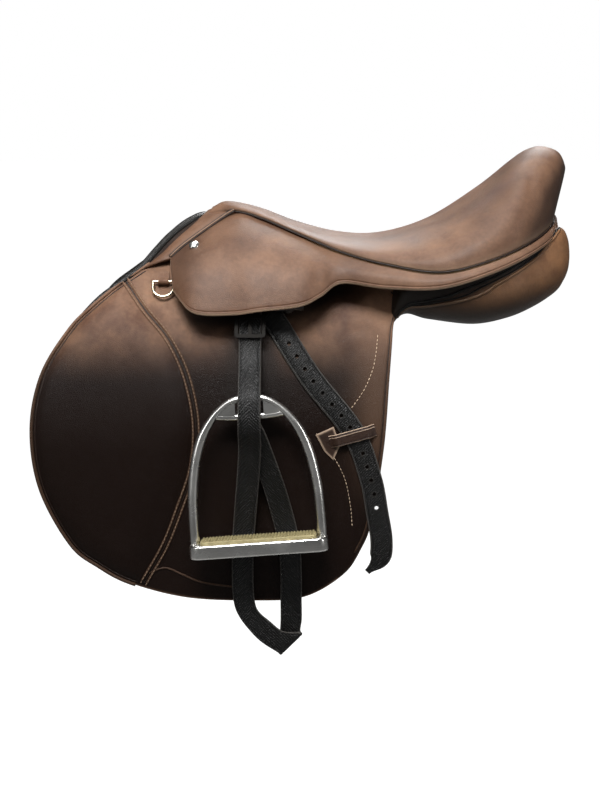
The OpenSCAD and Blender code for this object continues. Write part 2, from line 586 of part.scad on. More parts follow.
leather_out = 100;
leather_l = 400;
loop_r = bar_d / 2 + clearance + strap_t / 2;
loop_steps = 8;
leather_shares = [
  [-0.12, 0.19, -0.0175, 0.5, 0], [-0.12, 0.175, -0.05, 0.5, 0], [-0.12, 0.143, -0.1, 0.5, 0],
  [-0.12, 0.191, -0.155, 0.5, 0], [-0.12, 0.283, -0.195, 0.5, 0], [-0.12, 0.349, -0.225, 0.5, 0],
  [-0.12, 0.378, -0.25, 0.5, 0], [-0.12, 0.396, -0.275, 0.5, 0], [-0.12, 0.395, -0.295, 0.5, 0],
  [-0.12, 0.362, -0.325, 0.5, 0], [-0.12, 0.25, -0.39, 0.5, 0], [-0.28, 0.15, -0.515, 0.5, 0],
  [-0.44, 0.097, -0.64, 0.49, 0], [-0.48, 0.09, -0.74, 0.48, 0], [-0.42, 0.09, -0.8125, 0.48, 0],
  [-0.22, 0.092, -0.85, 0.46, 0.09], [0.26, 0.095, -0.885, 0.45, 0.22],
  [0.84, 0.098, -0.9175, 0.48, 0.26], [1.64, 0.095, -0.934, 0.5, 0.48], [1.76, 0.07, -0.94, 0.5, 0.5],
  [1.66, 0.044, -0.931, 0.5, 0.48], [1.72, 0.042, -0.8775, 0.49, 0.12], [1.68, 0.042, -0.8125, 0.48, 0],
  [1.68, 0.043, -0.74, 0.48, 0], [1.56, 0.052, -0.64, 0.49, 0], [1.08, 0.098, -0.515, 0.5, 0],
  [0.44, 0.2, -0.39, 0.5, 0], [0.08, 0.307, -0.325, 0.5, 0], [-0.12, 0.343, -0.2975, 0.5, 0],
  [-0.12, 0.349, -0.28, 0.5, 0], [-0.12, 0.321, -0.26625, 0.5, 0], [-0.12, 0.271, -0.26, 0.5, 0],
  [-0.12, 0.227, -0.2555, 0.5, 0], [-0.12, 0.193, -0.245, 0.5, 0], [-0.12, 0.193, -0.23, 0.5, 0],
  [-0.12, 0.158, -0.21, 0.5, 0], [-0.12, 0.086, -0.175, 0.5, 0], [-0.12, 0.033, -0.125, 0.5, 0],
  [-0.12, 0.033, -0.08, 0.5, 0], [-0.12, 0.044, -0.0435, 0.5, 0]];
leather_x = bar_x + leather_shares[0][0] * strap_w;
// Points as one row of six: place, then half width
leather_loop = [for (k = [0 : loop_steps]) let (a = bar_tilt + 180 - 180 * k / loop_steps)
  [leather_x, bar_u + loop_r * cos(a), bar_z + loop_r * sin(a), strap_w / 2, 0, 0]];
leather_run = [for (s = leather_shares)
  let (z = bar_z + s[2] * leather_l)
  [bar_x + s[0] * strap_w, barrel_u(flap_out_r, z) + s[1] * leather_out, z,
    s[3] * strap_w, 0, s[4] * strap_w]];
leather_rows = concat(leather_loop, spline(leather_run, 2));
module off_stirrup_leather() color(black)
  strap([for (r = leather_rows) [r[0], r[1], r[2]]], [for (r = leather_rows) [r[3], r[4], r[5]]], strap_t);
module near_stirrup_leather() near() off_stirrup_leather();

// Buckle on the front strand, under the skirt
buckle_l = 34;
buckle_w = 26;
buckle_t = 2.2;
buckle_wire = 4;
buckle_row = 1;           // point of the run that the buckle sits on
buckle_run = leather_run[buckle_row + 1] - leather_run[buckle_row - 1];
buckle_tilt = atan2(buckle_run[1], -buckle_run[2]);
buckle_stand = 0.8;
module off_leather_buckle() color(steel)
  translate([for (k = [0 : 2]) leather_run[buckle_row][k]])
    rotate([buckle_tilt, 0, 0]) translate([0, strap_t / 2 + buckle_stand, 0]) rotate([-90, 0, 0]) {
      difference() {
        round_block(buckle_l, buckle_w, buckle_t, buckle_wire);
        translate([buckle_wire - buckle_l / 2, buckle_wire - buckle_w / 2, -overrun])
          cube([buckle_l - 2 * buckle_wire, buckle_w - 2 * buckle_wire, buckle_t + 2 * overrun]);
      }
      translate([-buckle_wire / 2, -buckle_w / 2, 0]) cube([buckle_wire, buckle_w, buckle_t]);
    }
module near_leather_buckle() near() off_leather_buckle();

// Stirrup iron: eye, arch and tread, hung from the eye bar's axis

eye_back = 1;
eye_x = leather_x - eye_back;
eye_z = -68;
eye_stand = 25.5;         // from the flap's face out to the eye bar
eye_u = barrel_u(flap_out_r, eye_z) + eye_stand;
iron_tilt = 6;
iron_roll = 4;
eye_d = 8;
eye_l = 37;
slot_l = 31;
slot_h = 13.5;
branch_d = 12;
crown_d = 9;
branch_sides = 12;
tread_h = 15;
tread_r = 12;
pocket_l = 116;
pocket_w = 34;
pocket_h = 6;
module at_iron()
  translate([eye_x, eye_u, eye_z]) rotate([iron_tilt, 0, 0]) rotate([0, -iron_roll, 0]) children();
arch_shares = [[1, -1.03], [1, -0.85], [0.98, -0.64], [0.9, -0.42], [0.77, -0.25], [0.58, -0.12],
  [0.4, -0.045], [0.27, -0.012]];
arch_half = (iron_w + branch_d) / 2;
arch_points = [for (s = turned(arch_shares)) [s[0] * arch_half, 0, s[1] * iron_h]];
arch_line = spline(arch_points, curve_steps);
function arch_d(i) = let (h = min(-arch_line[i][2] / iron_h, 1)) crown_d + (branch_d - crown_d) * h;
// Web that closes the arch below the eye bar, with the slot for the leather
web_shares = [[0.24, -0.012], [0.4, -0.045], [0.58, -0.12], [0.63, -0.165], [0.45, -0.172], [0.2, -0.158]];
crown_points = [for (s = web_shares) [s[0] * arch_half, s[1] * iron_h]];
crown_outline = concat(crown_points, [for (q = turned(crown_points)) [-q[0], q[1]]]);
module crown_web() rotate([90, 0, 0]) translate([0, 0, -eye_d / 2]) linear_extrude(eye_d) difference() {
  polygon(crown_outline);
  translate([-slot_l / 2, -eye_d / 2 - slot_h]) square([slot_l, slot_h + eye_d / 2]);
}
module off_stirrup_iron() color(steel) at_iron() {
  along_x(eye_d, eye_l, 48);
  crown_web();
  for (s = [0, 1]) mirror([s, 0, 0]) loft([for (i = [0 : len(arch_line) - 1])
    circle_ring(arch_line[i], tangent(arch_line, i), [0, 1, 0], arch_d(i) / 2, branch_sides)]);
  difference() {
    translate([0, 0, -iron_h - tread_h]) round_block(iron_w + 2 * branch_d, tread_d, tread_h, tread_r);
    translate([0, 0, -iron_h - pocket_h]) round_block(pocket_l, pocket_w, pocket_h + overrun, tread_r / 2);
  }
}
module near_stirrup_iron() near() off_stirrup_iron();

// Rubber pad in the tread, ridged across
pad_over = 5;
ridge_n = 13;
ridge_w = 5;
ridge_h = 2;
module off_tread_pad() color("#d8cfa0") at_iron() {
  translate([0, 0, clearance - iron_h - pocket_h])
    round_block(pocket_l - 2 * clearance, pocket_w - 2 * clearance,
      pocket_h + pad_over - ridge_h, tread_r / 2);
  for (k = [0 : ridge_n - 1])
    translate([(k + 0.5) * pocket_l / ridge_n - pocket_l / 2 - ridge_w / 2, ridge_h - pocket_w / 2,
      pad_over - 2 * ridge_h - iron_h])
      cube([ridge_w, pocket_w - 2 * ridge_h, 2 * ridge_h]);
}
module near_tread_pad() near() off_tread_pad();

// Front dee on the flap's head, hung from a clip

dee_back = 0.115;          // from the skirt's front corner
dee_x = skirt_top[0][0] + dee_back;
dee_drop = 24;
dee_z = skirt_top[0][2] - dee_drop;
dee_stand = 4.8;
dee_wire = 3.2;
dee_side = 8;
clip_l = 12;
clip_d = 7;
clip_rise = 15;
clip_t = 2;
dee_r = flap_out_r + dee_stand;
dee_tilt = asin((dee_z - axis_z) / dee_r);
module at_dee() translate([dee_x, axis_u + dee_r * cos(dee_tilt), dee_z]) rotate([dee_tilt, 0, 0]) children();
module off_dee_ring() color(brass) at_dee() {
  w = dee_d - dee_wire;
  along_x(dee_wire, w, 24);
  for (s = [-1, 1]) translate([s * w / 2, 0, -dee_side]) cylinder(d = dee_wire, h = dee_side, $fn = 24);
  for (s = [-1, 1]) translate([s * w / 2, 0, 0]) sphere(d = dee_wire, $fn = 24);
  translate([0, 0, -dee_side]) rotate([-90, 0, 0]) rotate_extrude(angle = 180, $fn = 48)
    translate([w / 2, 0]) circle(d = dee_wire, $fn = 24);
}
module near_dee_ring() near() off_dee_ring();
module off_dee_staple() color(brass) at_dee() difference() {
  union() {
    along_x(clip_d, clip_l, 32);
    translate([-clip_l / 2, clearance - dee_stand, 0]) cube([clip_l, clip_t, clip_rise]);
  }
  along_x(dee_wire + 4 * running, clip_l + 2 * overrun, 24);
}
module near_dee_staple() near() off_dee_staple();

tree_head();
tree_frame();
tree_rivets();
seat_webbing();
seat_foam();
seat_cover();
seat_welt();
pommel_facing();
panel_facing();
saddle_nails();
panel_screws();
near_skirt();
off_skirt();
near_panel();
off_panel();
near_sweat_flap();
off_sweat_flap();
near_knee_block();
off_knee_block();
near_billets();
off_billets();
near_flap_head();
off_flap_head();
near_flap();
off_flap();
near_knee_pad();
off_knee_pad();
near_flap_keeper();
off_flap_keeper();
near_leather_tail();
off_leather_tail();
near_stirrup_bar();
off_stirrup_bar();
near_bar_catch();
off_bar_catch();
near_stirrup_leather();
off_stirrup_leather();
near_leather_buckle();
off_leather_buckle();
near_stirrup_iron();
off_stirrup_iron();
near_tread_pad();
off_tread_pad();
near_dee_staple();
off_dee_staple();
near_dee_ring();
off_dee_ring();
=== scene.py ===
import math
from functools import partial

import bmesh
import bpy
import numpy as np
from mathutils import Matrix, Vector


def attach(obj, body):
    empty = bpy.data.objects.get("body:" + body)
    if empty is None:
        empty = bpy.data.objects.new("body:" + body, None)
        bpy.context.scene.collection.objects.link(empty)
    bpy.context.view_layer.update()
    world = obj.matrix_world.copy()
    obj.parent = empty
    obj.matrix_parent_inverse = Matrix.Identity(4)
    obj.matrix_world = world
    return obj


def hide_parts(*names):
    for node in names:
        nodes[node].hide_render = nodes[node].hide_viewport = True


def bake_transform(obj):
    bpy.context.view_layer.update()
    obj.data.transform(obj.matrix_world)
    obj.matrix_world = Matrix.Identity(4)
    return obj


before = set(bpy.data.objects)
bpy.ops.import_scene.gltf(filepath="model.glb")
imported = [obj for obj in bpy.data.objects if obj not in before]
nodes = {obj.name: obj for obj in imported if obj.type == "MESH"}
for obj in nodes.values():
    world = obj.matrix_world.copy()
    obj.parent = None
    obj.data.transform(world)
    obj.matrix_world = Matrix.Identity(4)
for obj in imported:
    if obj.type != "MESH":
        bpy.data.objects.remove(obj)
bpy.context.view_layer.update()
sides = {"near": -1.0, "off": 1.0}
print("frame loaded:", len(nodes), "nodes")


# camera, floor and light
view = {"place": (-0.083, -1.871, 0.232), "aim": (-0.083, 0.0, -0.098), "lens": 71.87, "sensor": 36}
lights = {  # place, aim, size, power and spread in degrees
    "key": ((-0.32, -1.4, 1.78), (-0.06, 0, -0.02), (1.3, 0.8), 9.5, 50),
    "overhead": ((-0.1, 0.1, 1.7), (-0.05, -0.03, 0.0), (1.2, 0.5), 3, 70),
    "frontFill": ((-1.9, -1.6, 0.9), (-0.1, 0, -0.05), (0.28, 1.4), 1.6, 60),
    "rearFill": ((2.2, -1.2, 0.8), (0, 0, 0), (0.2, 1.5), 2.0, 60),
    "backFill": ((0.4, 1.9, 1.5), (-0.05, 0, 0), (1.0, 0.8), 4, 60),
}
stage = {"floorZ": -0.62, "size": 30.0, "shown": 1.0, "given": 0.1, "colour": (0.22, 0.22, 0.215), "rough": 0.9}


def addObject(name, data):
    obj = bpy.data.objects.new(name, data)
    bpy.context.scene.collection.objects.link(obj)
    return obj


def aimAt(obj, place, aim):
    obj.location = place
    obj.rotation_mode = "QUATERNION"
    obj.rotation_quaternion = (Vector(aim) - Vector(place)).to_track_quat("-Z", "Y")


def makeCamera():
    data = bpy.data.cameras.new("camera")
    data.lens = view["lens"]
    data.sensor_width = view["sensor"]
    camera = addObject("camera", data)
    aimAt(camera, view["place"], view["aim"])
    bpy.context.scene.camera = camera
    bpy.context.scene.view_settings.view_transform = "Standard"


def makeLight(name, place, aim, size, power, spread):
    data = bpy.data.lights.new(name, "AREA")
    data.energy = power
    data.shape = "RECTANGLE"
    data.size, data.size_y = size
    data.spread = math.radians(spread)
    aimAt(addObject(name, data), place, aim)


def setInputs(node, inputs):  # plain values, or the outputs of other nodes
    for key, value in inputs.items():
        if isinstance(value, bpy.types.NodeSocket):
            node.id_data.links.new(value, node.inputs[key])
        else:
            node.inputs[key].default_value = value


def addNode(tree, kind, inputs=None, **settings):
    node = tree.nodes.new(kind)
    for key, value in settings.items():
        setattr(node, key, value)
    setInputs(node, inputs or {})
    return node


def shownGlow(tree):  # the room looks white, but lights the leather only a little
    seen = addNode(tree, "ShaderNodeLightPath").outputs["Is Camera Ray"]
    glow = {"Value": seen, "To Min": stage["given"], "To Max": stage["shown"]}
    return addNode(tree, "ShaderNodeMapRange", glow).outputs["Result"]


def makeStage():
    s, z = stage["size"], stage["floorZ"]
    mesh = bpy.data.meshes.new("paleFloor")
    mesh.from_pydata([(-s, -s, z), (s, -s, z), (s, s, z), (-s, s, z)], [], [(0, 1, 2, 3)])
    floor = addObject("paleFloor", mesh)
    mat = bpy.data.materials.new("paleFloor")
    mat.use_nodes = True
    setInputs(mat.node_tree.nodes["Principled BSDF"],
              {"Base Color": (*stage["colour"], 1), "Roughness": stage["rough"], "Emission Color": (1, 1, 1, 1),
               "Emission Strength": shownGlow(mat.node_tree)})
    mesh.materials.append(mat)
    world = bpy.data.worlds.new("room")
    bpy.context.scene.world = world
    world.use_nodes = True
    setInputs(world.node_tree.nodes["Background"], {"Color": (1, 1, 1, 1), "Strength": shownGlow(world.node_tree)})


makeCamera()
for name, values in lights.items():
    makeLight(name, *values)
makeStage()
print("camera and floor set")


# curves and meshes, worked in millimetres and stored in metres
def catmull(points, steps):
    p = np.array(points, float)
    q = np.vstack([2 * p[0] - p[1], p, 2 * p[-1] - p[-2]])
    out = []
    for i in range(len(p) - 1):
        a, b, c, d = q[i:i + 4]
        for t in np.arange(steps) / steps:
            out.append(0.5 * (2 * b + (c - a) * t + (2 * a - 5 * b + 4 * c - d) * t * t
                              + (3 * b - a - 3 * c + d) * t ** 3))
    out.append(p[-1])
    return np.array(out)


def byLength(line, count):
    line = np.array(line, float)
    run = np.concatenate([[0], np.cumsum(np.linalg.norm(np.diff(line, axis=0), axis=1))])
    want = np.linspace(0, run[-1], count)
    return np.stack([np.interp(want, run, line[:, k]) for k in range(line.shape[1])], 1)


def lineLength(line):
    return float(np.linalg.norm(np.diff(np.array(line, float), axis=0), axis=1).sum())


def tangents(line):
    t = np.gradient(np.array(line, float), axis=0)
    return t / np.maximum(np.linalg.norm(t, axis=1), 1e-9)[:, None]


def unit(v):
    v = np.array(v, float)
    return v / np.maximum(np.linalg.norm(v, axis=-1, keepdims=True), 1e-9)


def smooth(x, a, b):
    t = np.clip((np.asarray(x, float) - a) / (b - a), 0, 1)
    return t * t * (3 - 2 * t)


def hump(x, at, run):
    return np.exp(-((x - at) / run) ** 2)


def closed(line):
    return np.vstack([line, line[:1]])


def moved(faces, base):
    return [tuple(base + k for k in f) for f in faces]


def makePiece(name, verts, faces, material, side=1.0, attributes=None, sharp=None):
    v = np.array(verts, float) * 0.001
    v[:, 1] *= side
    mesh = bpy.data.meshes.new(name)
    mesh.from_pydata(v.tolist(), [], [tuple(int(i) for i in f) for f in faces])
    for key, values in (attributes or {}).items():
        mesh.attributes.new(key, "FLOAT", "POINT").data.foreach_set("value", np.array(values, np.float32))
    bm = bmesh.new()
    bm.from_mesh(mesh)
    bmesh.ops.remove_doubles(bm, verts=bm.verts, dist=1e-6)
    bmesh.ops.dissolve_degenerate(bm, edges=bm.edges, dist=1e-7)
    bmesh.ops.recalc_face_normals(bm, faces=bm.faces)
    bm.to_mesh(mesh)
    bm.free()
    for p in mesh.polygons:
        p.use_smooth = True
    if sharp:
        mesh.set_sharp_from_angle(angle=math.radians(sharp))
    mesh.materials.append(material)
    return addObject(name, mesh)


def settle(obj, body, slot, *stands):  # the body it moves with, its slot (not used), and the nodes that it stands for
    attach(obj, body)
    if stands:
        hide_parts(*stands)


def gridFaces(rows, cols, around=False):
    faces = []
    for i in range(rows - 1):
        for j in range(cols if around else cols - 1):
            k = (j + 1) % cols
            faces.append((i * cols + j, i * cols + k, (i + 1) * cols + k, (i + 1) * cols + j))
    return faces


def rimFaces(rows, cols, base):  # close the edge between a grid and its copy, base vertices further on
    rim = list(range(cols)) + [i * cols + cols - 1 for i in range(1, rows)]
    rim += [(rows - 1) * cols + j for j in range(cols - 2, -1, -1)] + [i * cols for i in range(rows - 2, 0, -1)]
    return [(rim[k], rim[k - 1], rim[k - 1] + base, rim[k] + base) for k in range(len(rim))]


def loftFaces(rows, cols):
    ends = [tuple(range(cols - 1, -1, -1)), tuple((rows - 1) * cols + j for j in range(cols))]
    return gridFaces(rows, cols, True) + ends


def tubeRings(line, radius, count, squash=1.0, up=(0, 0, 1)):
    line = np.array(line, float)
    t = tangents(line)
    w = unit(np.cross(t, np.array(up, float)))
    v = np.cross(w, t)
    r = np.broadcast_to(np.asarray(radius, float), (len(line),))
    a = 2 * np.pi * np.arange(count) / count
    return (line[:, None] + r[:, None, None] * (np.cos(a)[None, :, None] * v[:, None]
            + squash * np.sin(a)[None, :, None] * w[:, None])).reshape(-1, 3)


def joined(parts):
    verts, faces = [], []
    for v, f in parts:
        faces += moved(f, len(verts))
        verts += list(v)
    return verts, faces


def makeTubes(name, lines, material, side=1.0, count=8, rub=0.0, up=(0, 0, 1)):
    verts, faces = joined([(tubeRings(line, radius, count, 1.0, up), loftFaces(len(line), count))
                           for line, radius in lines])
    return makePiece(name, verts, faces, material, side, {"rub": np.full(len(verts), rub)})


def eachSide(*makers):
    for name, side in sides.items():
        for make in makers:
            make(name, side)


mirror = np.array([1, -1, 1])


def bothSides(verts, faces):
    v = np.array(verts, float)
    return np.vstack([v, v * mirror]), list(faces) + moved(faces, len(v))


def overMiddle(line):  # a line that ends on the middle goes on down the other side
    return np.vstack([line, (line * mirror)[-2::-1]])


# finishes; every leather is clouded, flecked and mottled, with pores and creases
hide = {"cloud": 9, "fleck": 240, "fleckShare": 0.35, "patch": 36, "poreEdge": 0.18, "poreBump": 0.6, "crease": 48,
        "creaseBump": 0.5, "creaseDepth": 0.0006, "ribBump": 0.9, "coatRough": 0.35}
metal = {"smear": 26, "shade": 0.82, "hair": 900, "hairBump": 0.06, "hairDepth": 0.0002}
grained = {"bump": 0.4, "depth": 0.0004}


def startMaterial(name):
    mat = bpy.data.materials.new(name)
    mat.use_nodes = True
    add = partial(addNode, mat.node_tree)
    return mat, mat.node_tree.nodes["Principled BSDF"], add, add("ShaderNodeTexCoord").outputs["Object"]


def noise(add, place, scale, detail=2, **more):
    return add("ShaderNodeTexNoise", {"Vector": place, "Scale": scale, "Detail": detail, **more}).outputs["Fac"]


def ramp(add, value, *stops):
    node = add("ShaderNodeValToRGB", {"Fac": value})
    while len(node.color_ramp.elements) < len(stops):
        node.color_ramp.elements.new(0.5)
    for e, (at, colour) in zip(node.color_ramp.elements, stops):
        e.position = at
        e.color = (*colour, 1)
    return node.outputs["Color"]


def remap(add, value, low, high, first, last, how="LINEAR"):
    span = {"Value": value, "From Min": low, "From Max": high, "To Min": first, "To Max": last}
    return add("ShaderNodeMapRange", span, interpolation_type=how).outputs["Result"]


def mixed(add, share, first, second, how="MIX"):
    both = {"Factor": share, "A": first, "B": second}
    return add("ShaderNodeMix", both, data_type="RGBA", blend_type=how).outputs["Result"]


def bumped(add, height, strength, depth, **more):
    relief = {"Height": height, "Strength": strength, "Distance": depth, **more}
    return add("ShaderNodeBump", relief).outputs["Normal"]


def leatherMaterial(name, dark, light, worn, rough=(0.36, 0.52), grain=620.0, grainDepth=0.00022, edgeKey=None,
                    stainKey=None, deep=(0.006, 0.0035, 0.0025), fade=None, coat=0.06, specular=0.36, patchy=0.8,
                    ribs=None):
    mat, shader, add, place = startMaterial(name)
    axes = add("ShaderNodeSeparateXYZ", {"Vector": place}).outputs
    cloud = noise(add, place, hide["cloud"], 5, Roughness=0.6)
    colour = ramp(add, cloud, (0.32, dark), (0.68, light))
    fleck = ramp(add, noise(add, place, hide["fleck"], 3), (0.3, (0.62, 0.6, 0.58)), (0.7, (1.12, 1.1, 1.08)))
    colour = mixed(add, hide["fleckShare"], colour, fleck, "MULTIPLY")
    patch = noise(add, place, hide["patch"], 7, Roughness=0.62, Distortion=0.4)  # hand-sized mottling of worn hide
    patch = ramp(add, patch, (0.34, (0.66, 0.58, 0.54)), (0.52, (1, 1, 1)), (0.7, (1.24, 1.2, 1.14)))
    colour = mixed(add, patchy, colour, patch, "MULTIPLY")
    if fade:  # painted shade: darker towards the lower part of the piece
        low, high, shade = fade
        colour = mixed(add, remap(add, axes["Z"], low, high, 1, 0, "SMOOTHSTEP"), colour, (*shade, 1))
    for key, dye in ((stainKey, deep), (edgeKey, worn)):  # darker by the first attribute: real dye on the panel's gusset, painted shade on the cantle's back and the skirts' front top, painted shadow under the skirt's edge, partly dye and partly painted shade beside the strap; paler where it is rubbed
        if key:
            share = add("ShaderNodeAttribute", attribute_name=key).outputs["Fac"]
            colour = mixed(add, share, colour, (*dye, 1))
    cells = add("ShaderNodeTexVoronoi", {"Vector": place, "Scale": grain}, feature="DISTANCE_TO_EDGE")
    pores = remap(add, cells.outputs["Distance"], 0, hide["poreEdge"], 0, 1)
    normal = bumped(add, pores, hide["poreBump"], grainDepth)
    crease = noise(add, place, hide["crease"], 6, Distortion=0.6)
    normal = bumped(add, crease, hide["creaseBump"], hide["creaseDepth"], Normal=normal)
    if ribs:  # slanted ribs pressed into a strap, meeting on its middle line
        wave = axes["X"]
        for operation, *other in (("SUBTRACT", ribs["middle"]), ("ABSOLUTE",), ("MULTIPLY", ribs["slope"]),
                                  ("ADD", axes["Z"]), ("MULTIPLY", 2 * math.pi / ribs["pitch"]), ("SINE",)):
            wave = add("ShaderNodeMath", dict(enumerate([wave, *other])), operation=operation).outputs["Value"]
        normal = bumped(add, wave, hide["ribBump"], ribs["depth"], Normal=normal)
    setInputs(shader, {"Base Color": colour, "Roughness": remap(add, cloud, 0.3, 0.7, *rough), "Normal": normal,
                       "Specular IOR Level": specular, "Coat Weight": coat, "Coat Roughness": hide["coatRough"]})
    return mat


def metalMaterial(name, colour, rough):
    mat, shader, add, place = startMaterial(name)
    smear = noise(add, place, metal["smear"], 5)
    tint = ramp(add, smear, (0.25, tuple(c * metal["shade"] for c in colour)), (0.75, colour))
    hair = bumped(add, noise(add, place, metal["hair"]), metal["hairBump"], metal["hairDepth"])
    setInputs(shader, {"Base Color": tint, "Roughness": remap(add, smear, 0.3, 0.7, *rough), "Normal": hair,
                       "Metallic": 1})
    return mat


def grainMaterial(name, dark, light, scale, rough, stretch=(1, 1, 1)):
    mat, shader, add, place = startMaterial(name)
    place = add("ShaderNodeMapping", {"Vector": place, "Scale": stretch}).outputs["Vector"]
    speck = noise(add, place, scale, 6)
    setInputs(shader, {"Base Color": ramp(add, speck, (0.3, dark), (0.7, light)), "Roughness": rough,
                       "Normal": bumped(add, speck, grained["bump"], grained["depth"])})
    return mat


blackHide = {"dark": (0.0026, 0.0025, 0.0024), "light": (0.006, 0.0057, 0.0054), "worn": (0.06, 0.055, 0.05),
             "rough": (0.26, 0.44), "grain": 600.0, "grainDepth": 0.0004, "edgeKey": "rub", "specular": 0.22}
finish = {
    # the seat's deep colour paints shade on the cantle's back and the skirts' front top
    "seat": leatherMaterial("seatLeather", (0.078, 0.037, 0.02), (0.164, 0.09, 0.055), (0.5, 0.36, 0.25),
                            rough=(0.38, 0.56), edgeKey="rub", specular=0.23, patchy=0.55, stainKey="stain",
                            deep=(0.03, 0.016, 0.011)),
    # the flap's lower part is darkened by painted shade
    "flap": leatherMaterial("flapLeather", (0.092, 0.047, 0.03), (0.215, 0.122, 0.075), (0.19, 0.11, 0.07),
                            rough=(0.38, 0.52), edgeKey="rub", fade=(-0.058, 0.028, (0.0064, 0.0027, 0.0016)),
                            coat=0.0, specular=0.13, stainKey="stain"),
    "dark": leatherMaterial("darkLeather", (0.012, 0.0066, 0.0046), (0.024, 0.013, 0.009), (0.2, 0.12, 0.08),
                            specular=0.25),
    # the panel's lower part is darkened by painted shade
    "panel": leatherMaterial("panelLeather", (0.13, 0.06, 0.026), (0.2, 0.098, 0.044), (0.34, 0.21, 0.12),
                             rough=(0.32, 0.46), edgeKey="rub", fade=(0.015, 0.08, (0.022, 0.012, 0.007)),
                             specular=0.3, stainKey="stain", deep=(0.008, 0.006, 0.005)),
    "black": leatherMaterial("blackLeather", **blackHide),
    "strap": leatherMaterial("strapLeather", **blackHide,
                             ribs={"pitch": 0.0036, "middle": -0.138, "slope": 1.0, "depth": 0.00026}),
    "tail": leatherMaterial("tailLeather", **blackHide,
                            ribs={"pitch": 0.0032, "middle": -0.5, "slope": -1.0, "depth": 0.00018}),
    "keeper": leatherMaterial("keeperLeather", (0.016, 0.0075, 0.0045), (0.034, 0.017, 0.011), (0.44, 0.32, 0.23),
                              edgeKey="rub", specular=0.25),
    "seamThread": grainMaterial("seamThread", (0.16, 0.1, 0.06), (0.26, 0.17, 0.11), 1800, 0.7),
    "thread": grainMaterial("paleThread", (0.42, 0.3, 0.2), (0.62, 0.48, 0.34), 1800, 0.7),
    "steel": metalMaterial("polishedSteel", (0.8, 0.79, 0.76), (0.2, 0.32)),
    "blackened": metalMaterial("blackenedSteel", (0.016, 0.015, 0.014), (0.5, 0.65)),
    "iron": metalMaterial("dullSteel", (0.5, 0.5, 0.49), (0.25, 0.42)),
    "nickel": metalMaterial("wornNickel", (0.74, 0.66, 0.5), (0.16, 0.32)),
    "rubber": grainMaterial("paleRubber", (0.2, 0.165, 0.075), (0.31, 0.265, 0.135), 260, 0.62),
    "wood": grainMaterial("treeWood", (0.42, 0.27, 0.14), (0.62, 0.44, 0.26), 30, 0.55, (1, 6, 6)),
    "web": grainMaterial("juteWeb", (0.36, 0.27, 0.17), (0.55, 0.44, 0.3), 420, 0.85),
}
print("finishes made:", len(finish))


# rows of one small shape along a path, made by geometry nodes
stitch = {"Pitch": 4.3, "Length": 3.1, "Width": 0.9}
stitchShape = {"Segments": 6, "Rings": 5, "Radius": 0.5}
ridgeShape = {"Vertices": 10, "Radius": 0.5, "Depth": 1}


def rowTree(name, kind, shape, rotation=None):  # along the path, or turned by a fixed rotation
    tree = bpy.data.node_groups.new(name, "GeometryNodeTree")
    face = tree.interface
    face.new_socket("Geometry", in_out="INPUT", socket_type="NodeSocketGeometry")
    keys = {key: face.new_socket(key, in_out="INPUT", socket_type="NodeSocketFloat").identifier
            for key in ("Pitch", "Length", "Width")}
    keys["Finish"] = face.new_socket("Finish", in_out="INPUT", socket_type="NodeSocketMaterial").identifier
    face.new_socket("Geometry", in_out="OUTPUT", socket_type="NodeSocketGeometry")
    add = partial(addNode, tree)
    given = add("NodeGroupInput").outputs
    curve = add("GeometryNodeMeshToCurve", {"Mesh": given["Geometry"]}).outputs["Curve"]
    points = add("GeometryNodeCurveToPoints", {"Curve": curve, "Length": given["Pitch"]}, mode="LENGTH").outputs
    size = add("ShaderNodeCombineXYZ", {"X": given["Width"], "Y": given["Width"], "Z": given["Length"]})
    put = add("GeometryNodeInstanceOnPoints", {
        "Points": points["Points"], "Instance": add(kind, shape).outputs["Mesh"],
        "Rotation": rotation or points["Rotation"], "Scale": size.outputs["Vector"]})
    real = add("GeometryNodeRealizeInstances", {"Geometry": put.outputs["Instances"]})
    even = add("GeometryNodeSetShadeSmooth", {"Geometry": real.outputs["Geometry"]})
    paint = add("GeometryNodeSetMaterial", {"Geometry": even.outputs["Geometry"], "Material": given["Finish"]})
    add("NodeGroupOutput", {"Geometry": paint.outputs["Geometry"]})
    return tree, keys


stitchRows = rowTree("stitchRows", "GeometryNodeMeshUVSphere", stitchShape)
ridgeRows = rowTree("ridgeRows", "GeometryNodeMeshCylinder", ridgeShape, (math.pi / 2, 0, 0))


def makeRows(name, rows, lines, sizes, material, side=1.0):
    tree, keys = rows
    verts, edges = [], []
    for line in lines:
        base = len(verts)
        verts += (np.array(line, float) * np.array([0.001, 0.001 * side, 0.001])).tolist()
        edges += [(base + i, base + i + 1) for i in range(len(line) - 1)]
    mesh = bpy.data.meshes.new(name + "Path")
    mesh.from_pydata(verts, edges, [])
    path = addObject(name + "Path", mesh)
    mod = path.modifiers.new("rows", "NODES")
    mod.node_group = tree
    for key, value in sizes.items():
        mod[keys[key]] = value * 0.001
    mod[keys["Finish"]] = material
    made = bpy.data.meshes.new_from_object(path.evaluated_get(bpy.context.evaluated_depsgraph_get()))
    path.modifiers.remove(mod)
    bpy.data.objects.remove(path)
    made.name = name
    return addObject(name, made)


print("row trees made")
